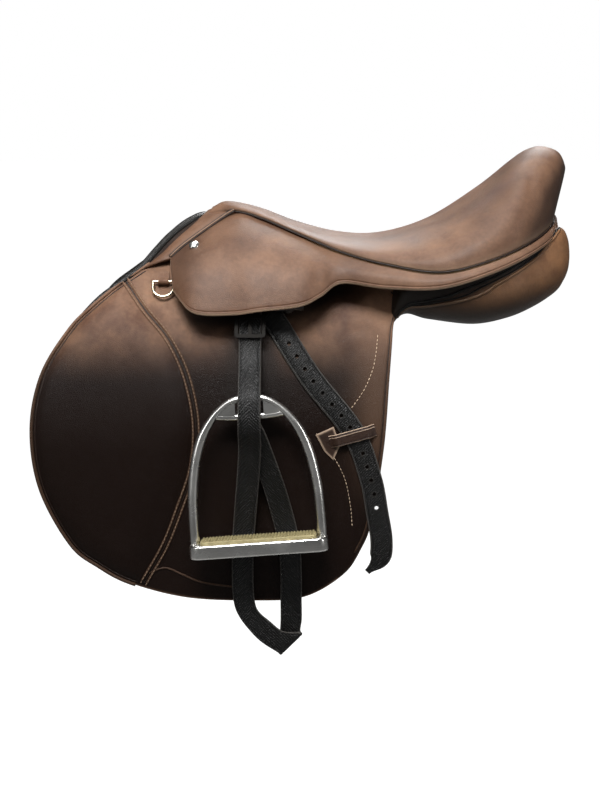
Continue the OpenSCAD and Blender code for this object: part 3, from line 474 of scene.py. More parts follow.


# seat
# the cantle's back, behind its ridge, is darkened by painted shade
seat = {"length": 405.0, "half": 140.0, "cantle": 200.0, "rows": 190, "steps": 12, "acrossSteps": 30, "underSteps": 8,
        "dish": 2.0, "depth": 18.5, "inset": 8.0, "sink": 0.4, "roll": 2.2, "rollTurns": (30, 60, 90), "rollShare": 0.6,
        "ridge": 1.0, "ridgeRun": 0.2, "ridgeFade": 0.8, "ridgeAt": 8.95, "ridgeDrop": 1.5, "ridgePower": 1.6,
        "backStain": 0.75, "backRun": (0.05, 0.6), "edgeRub": [0.06, 0.24, 0.2, 0.1]}
spineShares = [(-.455, .655), (-.412, .684), (-.32, .64), (-.227, .562), (-.1, .497), (.025, .492), (.168, .584),
               (.31, .77), (.4, .92), (.44, .978), (.478, 1.002), (.515, .985), (.54, .945), (.553, .89), (.554, .855)]
edgeShares = [(-.465, .16, .62), (-.39, .26, .645), (-.316, .36, .6125), (-.205, .53, .525), (-.086, .7, .435),
              (.025, .86, .382), (.173, .985, .346), (.309, .955, .4085), (.425, .75, .498), (.498, .42, .578),
              (.523, 0, .635)]
spineStops = (0, 12, 24, 36, 48, 60, 72, 84, 103, 141, 168)  # steps on the spine that meet the edge's points


def seatShare(s):
    return np.array([s[0] * seat["length"], s[1] * seat["half"], s[2] * seat["cantle"]])


def alongLine(line, steps):
    return np.stack([np.interp(steps, np.arange(len(line)), line[:, k]) for k in range(3)], 1)


seatRows = np.linspace(0, len(edgeShares) - 1, seat["rows"])
spine = alongLine(catmull([seatShare((a, 0, b)) for a, b in spineShares], seat["steps"]),
                  np.interp(seatRows, np.arange(len(edgeShares)), spineStops))
edge = alongLine(catmull([seatShare(s) for s in edgeShares], seat["steps"]), seatRows * seat["steps"])
spineNormal = np.stack([-tangents(spine)[:, 2], 0 * spine[:, 0], tangents(spine)[:, 0]], 1)
edgeNormal = unit(np.stack([-tangents(edge)[:, 1], tangents(edge)[:, 0], 0 * edge[:, 0]], 1))
edgeNormal[-1] = (1, 0, 0)


def seatPoint(i, v, drop, inset, sink):
    c = spine[i] - drop * spineNormal[i]
    e = edge[i] - inset * edgeNormal[i] - np.array([0, 0, sink])
    s, d = math.sin(math.pi / 2 * v), 1 - math.cos(math.pi / 2 * v)
    lift = seat["dish"] * math.sin(math.pi * v) * math.sin(math.pi * i / (len(spine) - 1))
    return np.array([c[0] + (e[0] - c[0]) * d, c[1] + (e[1] - c[1]) * s, c[2] + (e[2] - c[2]) * d + lift])


def behindRidge(i, v):  # how far a point lies behind the line on the cantle where the top meets the back
    ridgeLine = seat["ridgeAt"] - seat["ridgeDrop"] * v ** seat["ridgePower"]
    return i * (len(edgeShares) - 1) / (len(spine) - 1) - ridgeLine


def makeSeat():
    n, cols, low = len(spine), seat["acrossSteps"], seat["underSteps"]
    tucked = len(seat["rollTurns"]) + low + 1  # points of a row on its rolled edge and underneath
    across = [j / cols for j in range(cols + 1)]
    rows, rub, stain = [], [], []
    for i in range(n):
        row = [seatPoint(i, v, 0, 0, 0) for v in across]
        end = row[-1]
        for turn in seat["rollTurns"]:
            a = math.radians(turn)
            row.append(end - edgeNormal[i] * seat["roll"] * (1 - math.cos(a))
                       - np.array([0, 0, seat["roll"] * math.sin(a)]) * seat["rollShare"])
        row += [seatPoint(i, j / low, seat["depth"], seat["inset"], seat["sink"]) for j in range(low, -1, -1)]
        rows.append(row)
        # painted shade: the cantle's back, behind the ridge, is darkened
        behind = [seat["backStain"] * float(smooth(behindRidge(i, v), *seat["backRun"])) for v in across]
        stain += behind + [behind[-1]] * tucked
        rub += [0.0] * (cols - 1) + seat["edgeRub"] + [0.0] * (tucked + 2 - len(seat["edgeRub"]))
    top = np.array([row[:cols + 1] for row in rows])
    normal = np.cross(np.gradient(top, axis=0), np.gradient(top, axis=1))
    normal[:, 0, 1] = 0
    normal = unit(normal) * np.where(normal[..., 2:3] + 0.5 * normal[..., 0:1] < 0, -1, 1)
    for i in range(n):  # soft roll along the cantle
        for j, v in enumerate(across):
            swell = seat["ridge"] * (1 - seat["ridgeFade"] * v)
            swell *= math.exp(-(behindRidge(i, v) / seat["ridgeRun"]) ** 2)
            rows[i][j] = rows[i][j] + normal[i, j] * swell
    width = len(rows[0])
    faces = gridFaces(n, width) + [(j, j + 1, width - 2 - j, width - 1 - j) for j in range(low)]
    verts, faces = bothSides([p for row in rows for p in row], faces)
    obj = makePiece("seat", verts, faces, finish["seat"], 1.0, {"rub": rub * 2, "stain": stain * 2})
    settle(obj, "saddle", "seat_leather", "seat_cover", "seat_foam")


makeSeat()
print("seat made")


# welt cord between seat and skirts
welt = {"radius": 0.95, "sink": 2.0, "sides": 12, "points": 260}


def makeWelt():
    line = byLength(overMiddle(edge - np.array([0, 0, welt["sink"]])), welt["points"])
    obj = makeTubes("seatWelt", [(line, welt["radius"])], finish["dark"], 1.0, welt["sides"])
    settle(obj, "saddle", "dark_leather", "seat_welt")


makeWelt()
print("welt made")


# skirts
skirt = {"drop": 107.0, "out": 110.0, "thick": 4.0, "bulge": 0.15, "steps": 8, "columns": 150, "rows": 26, "sink": 4.4,
         "stand": 1.2, "groove": 3.3, "grooveDepth": 0.8, "grooveRun": 0.45, "bead": 0.3, "beadAt": 1.8, "beadRun": 0.9,
         "arc": 1.06, "rimShare": 0.7, "rub": 0.6, "rubAt": 0.5, "rubRun": 0.55, "rubEnd": 6.0}
skirtShadeFront = {"x": -216.0, "run": 24.0, "heights": (30, 75), "depth": 0.5}  # painted shade: the skirt's front top darker round the nail
skirtReach = [(.05, .33, .31), (0, .771, .714), (0, .96, .96), (0, .868, .859), (0, .62, .648), (0, .416, .469),
              (-.024, .196, .269), (0, .118, .212), (0, .075, .135), (.016, .06, .1), (.03, .05, .088),
              (.045, .03, .085), (.045, 0, .06)]
rimRows = [0.0, 0.4, 0.9, 1.5, 2.2, 2.8, 3.1, 3.3, 3.5, 3.9, 5.0, 8.0]  # distances in from a skirt's free edge


def belowWelt(k):
    return seatShare(edgeShares[k]) + np.array([0, skirt["stand"], -skirt["sink"]])


skirtTop = np.array([seatShare((-.566, .514, .387)), seatShare((-.494, .38, .5)), belowWelt(1), belowWelt(2),
                     belowWelt(3), seatShare((-.148, .618, .456))] + [belowWelt(k) for k in range(4, 11)])
skirtLow = skirtTop + np.array([(a * skirt["drop"], b * skirt["out"], -c * skirt["drop"]) for a, b, c in skirtReach])
skirtT, skirtL = catmull(skirtTop, skirt["steps"]), catmull(skirtLow, skirt["steps"])


def skirtFrame(t):
    k = t * (len(skirtT) - 1)
    i = min(int(k), len(skirtT) - 2)
    f = k - i
    a = skirtT[i] * (1 - f) + skirtT[i + 1] * f
    b = skirtL[i] * (1 - f) + skirtL[i + 1] * f
    along = unit(skirtT[min(i + 2, len(skirtT) - 1)] - skirtT[max(i - 1, 0)])
    return a, b - a, unit(np.cross(along, b - a))


def skirtPoint(t, v, rise):
    a, run, n = skirtFrame(t)
    return a + run * v + n * (skirt["bulge"] * np.linalg.norm(run) * math.sin(math.pi * v) + rise)


def skirtRise(d):  # height of the outer face at a distance from the free edge
    half = skirt["thick"] / 2
    rounded = -half + math.sqrt(max(half ** 2 - max(half - d, 0) ** 2, 0))
    dip = -skirt["grooveDepth"] * math.exp(-((d - skirt["groove"]) / skirt["grooveRun"]) ** 2)
    bead = skirt["bead"] * math.exp(-((d - skirt["beadAt"]) / skirt["beadRun"]) ** 2)
    return rounded + dip + bead


def makeSkirt(name, side):
    front, half = lineLength(skirtT), skirt["thick"] / 2
    ts = sorted(set([d / front for d in rimRows] + list(np.linspace(rimRows[-1] / front, 1, skirt["columns"]))))
    outer, inner, rub = [], [], []
    for t in ts:
        run = np.linalg.norm(skirtFrame(t)[1]) * skirt["arc"]
        vs = [1 - d / run for d in rimRows if d / run < skirt["rimShare"]]
        vs = list(np.linspace(0, vs[-1], skirt["rows"] - len(vs), endpoint=False)) + vs[::-1]
        for v in vs:
            d = min((1 - v) * run, t * front)
            outer.append(skirtPoint(t, v, skirtRise(d)))
            inner.append(skirtPoint(t, v, -half - half * min(1, math.sqrt(max(d, 0) / 2))))
            rub.append(skirt["rub"] * math.exp(-((d - skirt["rubAt"]) / skirt["rubRun"]) ** 2)
                       if d < skirt["rubEnd"] else 0.0)
    rows, cols, base = len(ts), skirt["rows"], len(outer)
    verts, faces = np.array(outer + inner), gridFaces(rows, cols)
    faces += moved([f[::-1] for f in faces], base) + rimFaces(rows, cols, base)
    # painted shade on the skirt's front top, round the nail
    stain = skirtShadeFront["depth"] * hump(verts[:, 0], skirtShadeFront["x"], skirtShadeFront["run"])
    stain *= smooth(verts[:, 2], *skirtShadeFront["heights"])
    obj = makePiece(name + "Skirt", verts, faces, finish["seat"], side, {"rub": rub + [0.0] * base, "stain": stain})
    settle(obj, "saddle", "seat_leather", name + "_skirt")


eachSide(makeSkirt)
print("skirts made")


# pommel: piped front edge of the skirts, facing strip, rolled panel front and arch face
pommel = {"count": 60, "steps": 10, "thick": 3.0, "bulge": 2.6, "back": (3.0, 0, -1.0), "archBulge": 1.0,
          "archFrom": -316.0, "tuck": 7.0, "tuckRun": (-255, -285), "liningFrom": -262.0, "liningThick": 1.6,
          "liningSink": (1.5, 0.5), "roll": 4.6, "rollEnd": 1.8, "rollRun": (0.0, 0.62), "rollPoints": 240,
          "rollSides": 14, "rollRub": 0.1, "gap": 1.7, "out": (-0.2, 0.5, 0.7), "face": (0.25, 0.55, 0.8),
          "pipePoints": 70, "pipeSides": 12, "pipeRub": 0.16}
# the two dark cords either side of the pale pipe are painted shadow in its grooves
pommelPipes = {"SkirtPipe": (0, 1.0, 1.5, "seat"), "SkirtPipeFront": (-1, 0.9, 0.9, "dark"),
               "SkirtPipeRear": (1, 0.9, 0.9, "dark")}  # side step, radius, lift and finish
pommelWelt = catmull([(-229, 72, 78), (-216, 63, 89.5), (-200, 54, 101), (-184, 45.5, 112), (-170, 39, 121.5),
                      (-158, 37, 128.5)], 8)
pommelCrown = catmull([(-158, 37, 128.5), (-163, 18, 130.5), (-166, 0, 131)], 8)
pommelSeam = catmull([(-259, 72, 66), (-239, 60, 82), (-231, 54, 90), (-219, 45, 101), (-206, 34, 112),
                      (-196, 20, 121.5), (-190, 0, 127)], 8)
pommelRoll = catmull([(-338, 113, -14), (-338.5, 108.5, -2), (-327, 102, 14), (-307, 91, 34), (-284, 80.5, 50),
                      (-262, 67, 66), (-247, 53, 82.5), (-233, 41, 97.5), (-218, 29, 109.5), (-203, 16, 117.8),
                      (-194, 0, 121)], 8)
pommelArch = catmull([(-260, 77, -17), (-257, 56, 0), (-252, 38, 20), (-247, 36, 30), (-240, 33, 42), (-228, 28, 58),
                      (-215, 20, 72), (-205, 10, 83), (-201, 0, 88)], 8)


def makeStrip(name, first, second, bulge, thick, key, *stands):  # a strip of hide over the middle, between two lines
    n, steps = pommel["count"], pommel["steps"]
    a, b = byLength(first, n), byLength(second, n)
    up = unit(np.cross(tangents((a + b) / 2), b - a))
    up *= np.where(up[:, 2:3] + -0.3 * up[:, 0:1] < 0, -1, 1)
    rows = [a + (b - a) * v + up * (bulge * math.sin(math.pi * v)) for v in np.linspace(0, 1, steps + 1)]
    rows += [a + (b - a) * v + up * (bulge * math.sin(math.pi * v) - thick) for v in np.linspace(1, 0, steps + 1)]
    faces = loftFaces(n, len(rows))[:-1]  # open at the middle, where both sides join
    verts, faces = bothSides(np.stack(rows, 1).reshape(-1, 3), faces)
    obj = makePiece(name, verts, faces, finish[key], 1.0, {"rub": np.zeros(len(verts))})
    settle(obj, "saddle", key + "_leather", *stands)


def rollFrom(x):
    return pommelRoll[np.argmin(np.abs(pommelRoll[:, 0] - x)):].copy()


def makePommel():
    crown = np.vstack([pommelWelt, pommelCrown[1:]]) + np.array(pommel["back"])
    makeStrip("pommelFacing", crown, pommelSeam, pommel["bulge"], pommel["thick"], "seat", "pommel_facing")
    arch = rollFrom(pommel["archFrom"])
    arch[:, 1] -= pommel["tuck"] * smooth(arch[:, 0], *pommel["tuckRun"])  # tucked inside the flap
    makeStrip("archFacing", pommelArch, arch, pommel["archBulge"], pommel["thick"], "dark", "panel_facing")
    seamSink, rollSink = (np.array([0, 0, sink]) for sink in pommel["liningSink"])
    makeStrip("gulletLining", pommelSeam - seamSink, rollFrom(pommel["liningFrom"]) - rollSink, 0.0,
              pommel["liningThick"], "dark")
    count = np.arange(pommel["rollPoints"])
    share = np.minimum(count, count[-1] - count) / (count[-1] / 2)
    radius = pommel["rollEnd"] + (pommel["roll"] - pommel["rollEnd"]) * smooth(share, *pommel["rollRun"])
    roll = makeTubes("panelRoll", [(byLength(overMiddle(pommelRoll), len(count)), radius)], finish["black"], 1.0,
                     pommel["rollSides"], pommel["rollRub"])
    settle(roll, "saddle", "black_leather")
    line = byLength(pommelWelt, pommel["pipePoints"])
    across = unit(np.cross(tangents(line), pommel["face"]))
    for name, side in sides.items():
        for part, (step, radius, lift, key) in pommelPipes.items():
            place = line + across * step * pommel["gap"] + np.array(pommel["out"]) * lift
            pipe = makeTubes(name + part, [(place, radius)], finish[key], side, pommel["pipeSides"], pommel["pipeRub"])
            settle(pipe, "saddle", key + "_leather")


makePommel()
print("pommel made")


# barrel that the flaps hang on
barrel = {"axisU": -159.0446, "axisZ": -130.0, "face": 301.0, "barX": -135.0, "barZ": 26.0, "width": 400.0,
          "height": 372.0}


def barrelPoint(x, z, rise):
    r = barrel["face"]
    x, z = np.asarray(x, float), np.asarray(z, float)
    a = np.arcsin(np.clip((z - barrel["axisZ"]) / r, 0, 1))
    u = barrel["axisU"] + (r + rise) * np.cos(a)
    zz = np.where(z > barrel["axisZ"], barrel["axisZ"] + (r + rise) * np.sin(a), z)
    return np.stack([x, u, zz], -1)


def flapShare(points):
    return [(barrel["barX"] + a * barrel["width"], barrel["barZ"] + b * barrel["height"]) for a, b in points]


# flaps with their padded fronts
flap = {"thick": 4.0, "segments": 400, "rings": 60, "middle": (-165.0, -120.0), "pad": 8.0, "padRun": 34.0,
        "padPower": 0.8, "padFrom": -258.0, "padTop": 52.0, "padSteps": 105, "edgeRun": (0.5, 12), "rub": 0.6,
        "rearRub": 0.12, "rearFrom": -40.0}
# slow unevenness of hung leather, and fine creases at the rear of the flap
waves = {"depth": 0.7, "lengths": (37, 61, 44, 90), "shift": 1.3}
folds = {"depth": 0.45, "x": -2.0, "z": 4.0, "runX": 24.0, "runZ": 30.0, "lengths": (3.4, 13, 7), "bend": 1.5}
flapShares = [(-.295, .121), (-.375, .065), (-.451, 0), (-.513, -.067), (-.585, -.196), (-.6135, -.3575),
              (-.5925, -.5375), (-.5125, -.707), (-.436, -.776), (-.345, -.829), (-.19, -.873), (-.01, -.883),
              (.14, -.872), (.25, -.803), (.3, -.724), (.331, -.632), (.362, -.4165), (.377, -.21), (.388, -.067),
              (.392, .046), (.2, .075), (0, .12), (-.1, .15), (-.2, .18), (-.265, .165)]
flapEdge = catmull(flapShare(flapShares), 10)
flapRound = closed(flapEdge)
seamLine = catmull([(-279, 52), (-256, 22), (-228, -10), (-208, -50), (-198, -100), (-202, -150), (-217, -195),
                    (-234, -238), (-258, -281)], 10)
padFront = flapEdge[:flap["padSteps"]]
padFront = padFront[(padFront[:, 0] < flap["padFrom"]) & (padFront[:, 1] < flap["padTop"])]
padEdge = np.vstack([seamLine, padFront[::-1]])


def polygonDistance(points, line):
    p = np.asarray(points, float)[:, None]
    a, b = np.asarray(line[:-1], float)[None], np.asarray(line[1:], float)[None]
    t = np.clip(((p - a) * (b - a)).sum(-1) / np.maximum(((b - a) ** 2).sum(-1), 1e-9), 0, 1)
    return np.linalg.norm(p - a - t[..., None] * (b - a), axis=-1).min(1)


def insidePolygon(points, line):
    p = np.asarray(points, float)
    a, b = np.asarray(line, float), np.roll(np.asarray(line, float), -1, 0)
    cross = (a[None, :, 1] > p[:, None, 1]) != (b[None, :, 1] > p[:, None, 1])
    with np.errstate(divide="ignore", invalid="ignore"):
        x = a[None, :, 0] + (p[:, None, 1] - a[None, :, 1]) * (b - a)[None, :, 0] / (b - a)[None, :, 1]
    return ((p[:, None, 0] < x) & cross).sum(1) % 2 == 1


def roundedEdge(d, half):  # height of a rounded edge above the middle of the hide
    return np.sqrt(np.maximum(half ** 2 - np.maximum(half - d, 0) ** 2, 0))


def padRise(points):
    d = polygonDistance(points, closed(padEdge))
    d = np.where(insidePolygon(points, padEdge), d, 0)
    return flap["pad"] * np.sin(np.clip(d / flap["padRun"], 0, 1) * math.pi / 2) ** flap["padPower"]


def flapWave(points):
    x, z = points[:, 0], points[:, 1]
    near = np.exp(-((x - folds["x"]) / folds["runX"]) ** 2 - ((z - folds["z"]) / folds["runZ"]) ** 2)
    a, b, c = folds["lengths"]
    crease = near * np.sin(z / a + x / b + folds["bend"] * np.sin(x / c))
    a, b, c, d = waves["lengths"]
    return waves["depth"] * np.sin(x / a + z / b) * np.sin(z / c - x / d + waves["shift"]) + folds["depth"] * crease


def flapRise(points):
    d, half = polygonDistance(points, flapRound), flap["thick"] / 2
    return -half + roundedEdge(d, half) + (padRise(points) + flapWave(points)) * smooth(d, *flap["edgeRun"])


# sheets of hide laid on the barrel; the rims are distances of their outer rings from the edge
sheet = {"rims": (0, .35, .8, 1.4, 2.0, 3.0, 4.5, 6.5, 9, 13), "rubAt": 0.8, "rubRun": 1.2, "rubEnd": 5.0}


def sheetMesh(outline, low, high, rise, segments, rings, middle=None):
    line = closed(outline)
    ring = byLength(line, segments + 1)[:-1]
    middle = ring.mean(0) if middle is None else np.array(middle)
    far = np.linalg.norm(ring - middle, axis=1)
    half = (high - low) / 2
    scales = [1 - d / far for d in sheet["rims"]]
    scales += [scales[-1] * (1 - k / rings) for k in range(1, rings)]
    outer, inner, rub = [], [], []
    for k, scale in enumerate(scales):
        p = middle + (ring - middle) * scale[:, None]
        d = polygonDistance(p, line)
        bow = roundedEdge(d, half)
        outer.append(barrelPoint(p[:, 0], p[:, 1], rise(p) if rise else low + half + bow))
        rub.append(np.where(d < sheet["rubEnd"], hump(d, sheet["rubAt"], sheet["rubRun"]), 0))
        if k % 2:
            inner.append(barrelPoint(p[:, 0], p[:, 1], low + half - bow))
    top = rise(middle[None])[0] if rise else high
    count = len(outer) + len(inner)
    verts = np.vstack(outer[::-1] + inner + [barrelPoint(*middle, top)[None], barrelPoint(*middle, low)[None]])
    marks = np.concatenate(rub[::-1] + [np.zeros(len(inner) * segments + 2)])
    faces = gridFaces(count, segments, True)
    last, tip = (count - 1) * segments, count * segments
    for j in range(segments):
        k = (j + 1) % segments
        faces += [(tip, k, j), (tip + 1, last + j, last + k)]
    return verts, faces, marks


def hang(obj, name, side, slot, *stands):  # its transform is baked in, and the nodes that it stands for are hidden
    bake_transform(obj)
    if stands:
        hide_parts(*stands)


def onFlap(points, lift, shift=0.0, gap=3.0):  # a line drawn on the flap, moved sideways by a shift
    line = np.array(points, float)
    line = byLength(line, max(8, int(lineLength(line) / gap)))
    t = tangents(line)
    line = line + shift * np.stack([-t[:, 1], t[:, 0]], 1)
    return barrelPoint(line[:, 0], line[:, 1], flapRise(line) + lift)


def insideEdge(start, end, inset):
    p, c = flapEdge[start:end], np.array(flap["middle"])
    return c + (p - c) * (1 - inset / np.linalg.norm(p - c, axis=1))[:, None]


trim = {"ridge": 1.5, "ridgeGap": 3.2, "seam": 1.0, "pipe": 2.0, "pipeInset": 0.8, "crease": 0.7, "creaseInset": 5.0,
        "band": 1.1, "line": 0.7, "lineInset": 5.4, "rearInset": 4.0, "front": (0, 92), "rear": (138, 191),
        "out": (0.3, 1, 0.2), "rub": 0.22, "tabLow": -0.6, "tabHigh": 1.3, "tabRub": 0.7,
        "tabMesh": (80, 6), "ridgeLift": 0.2, "pipeLift": 0.6, "lineLift": 0.1, "seamStitchLift": 1.75,
        "stitchLift": 0.15}
bandLine = catmull([(-252, -270), (-234, -264), (-214, -272), (-195, -280), (-165, -285), (-139, -288)], 8)
rearStitch = catmull([(3, -6), (1, -24), (-3, -42), (-13, -64), (-28, -85)], 8)
tabStitch = catmull([(-64, -112), (-58, -124), (-44, -140), (-33, -163), (-27, -192), (-25, -214)], 8)
tabPatch = np.array([(-66, -112), (-46, -103), (-38, -122), (-46, -141), (-56, -131)], float)
shadowAndDye = {"under": (34, 8), "front": (-228, -196), "rear": (2, -34), "strap": 0.9, "strapX": -136.0, "strapRun": 34.0,
        "strapHeights": (-250, -60), "most": 0.92}  # painted shadow below the skirt's edge; darker behind the strap, partly dye and partly painted shade
redder = {"share": 0.3, "x": 2.0, "run": 26.0, "heights": (-215, -90)}  # redder hide behind the strap


def flapShadowAndDye(x, z):
    low = skirtL[np.argsort(skirtL[:, 0])]
    below = np.interp(x, low[:, 0], low[:, 2]) - z
    # painted shadow below the skirt's edge
    shade = smooth(below, *shadowAndDye["under"]) * smooth(x, *shadowAndDye["front"]) * smooth(x, *shadowAndDye["rear"])
    # behind the strap: partly dye, partly painted shade
    strap = shadowAndDye["strap"] * np.exp(-((x - shadowAndDye["strapX"]) / shadowAndDye["strapRun"]) ** 4) * smooth(z, *shadowAndDye["strapHeights"])
    return np.clip(np.maximum(shade, strap), 0, shadowAndDye["most"])


def makeFlap(name, side):
    verts, faces, rub = sheetMesh(flapEdge, -flap["thick"], 0, flapRise, flap["segments"], flap["rings"],
                                  flap["middle"])
    x, z = verts[:, 0], verts[:, 2]
    behind = redder["share"] * hump(x, redder["x"], redder["run"]) * smooth(z, *redder["heights"])
    rub = np.where(x > flap["rearFrom"], flap["rearRub"], flap["rub"]) * rub + behind
    obj = makePiece(name + "Flap", verts, faces, finish["flap"], side, {"rub": rub, "stain": flapShadowAndDye(x, z)})
    hang(obj, name, side, "flap_leather", name + "_flap_head", name + "_flap", name + "_knee_pad")
    (first, last), both = trim["front"], (-trim["ridgeGap"], trim["ridgeGap"])
    lift = trim["lineLift"]
    ridges = [(onFlap(seamLine, trim["ridgeLift"], shift), trim["ridge"]) for shift in both]
    ridges += [(onFlap(insideEdge(first, last, trim["pipeInset"]), trim["pipeLift"]), trim["pipe"]),
               (onFlap(bandLine, lift), trim["band"]),
               (onFlap(insideEdge(*trim["rear"], trim["lineInset"]), lift), trim["line"])]
    obj = makeTubes(name + "FlapPiping", ridges, finish["flap"], side, 10, trim["rub"], trim["out"])
    hang(obj, name, side, "flap_leather")
    lines = [(onFlap(seamLine, lift), trim["seam"]),
             (onFlap(insideEdge(first + 2, last, trim["creaseInset"]), 0.0), trim["crease"]),
             (onFlap(insideEdge(*trim["rear"], trim["rearInset"]), 0.0), trim["crease"])]
    obj = makeTubes(name + "FlapCreases", lines, finish["dark"], side, 8, 0.0, trim["out"])
    hang(obj, name, side, "dark_leather")
    seamRows = [onFlap(seamLine, trim["seamStitchLift"], shift) for shift in both]
    flapRows = [onFlap(line, trim["stitchLift"]) for line in (rearStitch, tabStitch)]
    for part, rows, key in (("SeamStitches", seamRows, "seamThread"), ("FlapStitches", flapRows, "thread")):
        hang(makeRows(name + part, stitchRows, rows, stitch, finish[key], side), name, side, "flap_leather")
    verts, faces, rub = sheetMesh(tabPatch, trim["tabLow"], trim["tabHigh"], None, *trim["tabMesh"])
    obj = makePiece(name + "KeeperTab", verts, faces, finish["keeper"], side, {"rub": trim["tabRub"] * rub})
    settle(obj, name + "_flap", "flap_leather")


# sweat flaps and knee blocks under the flaps
under = {"scale": 0.92, "top": 4.0, "low": -16.0, "high": -12.0, "blockLow": -11.6, "blockHigh": -4.6, "blockRun": 13.0,
         "blockRim": 1.0, "blockEdge": 1.9, "blockPower": 0.75, "points": 20, "mesh": (260, 30), "blockMesh": (160, 22)}
blockShares = [(-.4, -.1), (-.5, -.25), (-.53, -.4), (-.5, -.55), (-.42, -.58), (-.39, -.42), (-.37, -.25),
               (-.35, -.12)]


def makeUnder(name, side):
    outline = catmull(flapShare([(a * under["scale"], b * under["scale"]) for a, b in flapShares[:under["points"]]]), 8)
    outline[:, 1] = np.minimum(outline[:, 1], under["top"])
    verts, faces = sheetMesh(outline, under["low"], under["high"], None, *under["mesh"], flap["middle"])[:2]
    obj = makePiece(name + "SweatFlap", verts, faces, finish["dark"], side)
    settle(obj, "saddle", "dark_leather", name + "_sweat_flap")
    block = catmull(flapShare(blockShares + blockShares[:1]), 10)[:-1]
    low = under["blockLow"]

    def crown(p):
        d = polygonDistance(p, closed(block))
        share = np.sin(np.clip(d / under["blockRun"], 0, 1) * math.pi / 2) ** under["blockPower"]
        return low + under["blockRim"] + (under["blockHigh"] - low - under["blockRim"]) * share

    verts, faces = sheetMesh(block, low, low + under["blockEdge"], crown, *under["blockMesh"])[:2]
    obj = makePiece(name + "KneeBlock", verts, faces, finish["dark"], side)
    settle(obj, "saddle", "dark_leather", name + "_knee_block")


eachSide(makeFlap, makeUnder)
print("flaps made")


# panels
panel = {"sides": 72, "steps": 9, "full": 0.75, "pipe": 1.5, "seam": 1.0, "pipeRub": 0.12, "seamSteps": 14,
         "seamTurns": 720, "seamPoints": 80, "seamReach": (0.06, 0.52), "out": (0.2, 1, 0.2),
         "pipeAt": (0, 0.4), "seamAt": (5, 0.2), "linerAt": (10, 0.4)}  # turn and lift of the cords
gusset = {"dye": 0.94, "offset": 5.0, "blur": 3.0, "top": (165, 150), "front": (0.02, 0.05), "rear": (0.53, 0.49),
          "wrap": 220}  # darker hide above the seam
panelShares = [(-.63, .66, -.21, .19, .03, -68), (-.573, .67, -.235, .315, .045, -68),
               (-.37, .665, -.24, .34, .056, -70), (-.148, .625, -.17, .335, .062, -63),
               (.01, .45, .053, .27, .071, -45), (.075, .53, .2, .3, .111, -12), (.148, .57, .225, .33, .17, -4),
               (.272, .585, .22, .33, .198, 2), (.37, .55, .247, .315, .195, 7), (.446, .45, .3, .27, .195, 11),
               (.511, .35, .362, .22, .184, 14), (.535, .31, .386, .18, .15, 14), (.548, .29, .388, .13, .1, 14),
               (.554, .28, .39, .06, .05, 14)]  # place, half width, half depth and turn of each section
panelFront = ((0.12, -1.9), (0.36, -1.8), (0.6, -1.5), (0.82, -0.9))  # size and shift of the rounded ends' rings
panelRear = ((0.9, 0.25), (0.76, 0.45), (0.58, 0.6), (0.36, 0.7), (0.12, 0.74))
seamX, seamTurn = np.array([(.06, -24), (.2, -12), (.35, 4), (.445, 13), (.5, 32), (.535, 62)]).T


def panelRing(k, count, grow=0.0):
    p = seatShare(k)
    a = 2 * np.pi * np.arange(count) / count
    b, c = (np.sign(s) * np.abs(s) ** panel["full"] for s in (np.cos(a), np.sin(a)))
    b, c = (k[3] * seat["half"] + grow) * b, (k[4] * seat["cantle"] + grow) * c
    q = math.radians(k[5])
    return np.stack([np.full(count, p[0]), p[1] + b * math.cos(q) - c * math.sin(q),
                     p[2] + b * math.sin(q) + c * math.cos(q)], 1)


def panelEnd(station, rings):
    out = []
    for size, shift in rings:
        k = station.copy()
        k[3:5] *= size
        k[0] += shift / seat["length"]
        out.append(panelRing(k, panel["sides"]))
    return out


def panelLine(turn, lift):  # gusset seam along the outer side of the rear half
    stations, count, (low, high) = catmull(panelShares, panel["seamSteps"]), panel["seamTurns"], panel["seamReach"]
    points = []
    for k in stations[(stations[:, 0] > low) & (stations[:, 0] < high)]:
        at = int(round((np.interp(k[0], seamX, seamTurn) + turn) * count / 360))
        points.append(panelRing(k, count, lift)[at % count])
    return byLength(points, panel["seamPoints"])


def makePanel(name, side):
    stations, count = catmull(panelShares, panel["steps"]), panel["sides"]
    rings = panelEnd(stations[0], panelFront) + [panelRing(k, count) for k in stations]
    rings += panelEnd(stations[-1], panelRear)
    turn = np.degrees(2 * np.pi * np.arange(count) / count)
    turn = np.where(turn > gusset["wrap"], turn - 360, turn)
    stain = []
    for ring in rings:
        share = ring[0][0] / seat["length"]
        seam = np.interp(share, seamX, seamTurn) + gusset["offset"]
        stain.append(gusset["dye"] * smooth(turn, seam - gusset["blur"], seam + gusset["blur"])
                     * smooth(turn, *gusset["top"]) * smooth(share, *gusset["front"]) * smooth(share, *gusset["rear"]))
    obj = makePiece(name + "Panel", np.vstack(rings), loftFaces(len(rings), count), finish["panel"], side,
                    {"rub": np.zeros(len(rings) * count), "stain": np.concatenate(stain)})
    settle(obj, "saddle", "panel_leather", name + "_panel")
    cords = [(panelLine(*panel["pipeAt"]), panel["pipe"])]
    obj = makeTubes(name + "PanelPiping", cords, finish["panel"], side, 10, panel["pipeRub"], panel["out"])
    settle(obj, "saddle", "panel_leather")
    cords = [(panelLine(*panel["seamAt"]), panel["seam"]), (panelLine(*panel["linerAt"]), panel["pipe"])]
    obj = makeTubes(name + "PanelSeam", cords, finish["black"], side, 8, 0.0, panel["out"])
    settle(obj, "saddle", "black_leather")


eachSide(makePanel)
print("panels made")


# stirrup leathers, run up and tucked
leather = {"width": 25.0, "thick": 3.4, "out": 100.0, "drop": 400.0, "loop": 6.6, "loopSteps": 14, "barU": 110.0,
           "barStand": 10.0, "steps": 5, "shift": -.12}
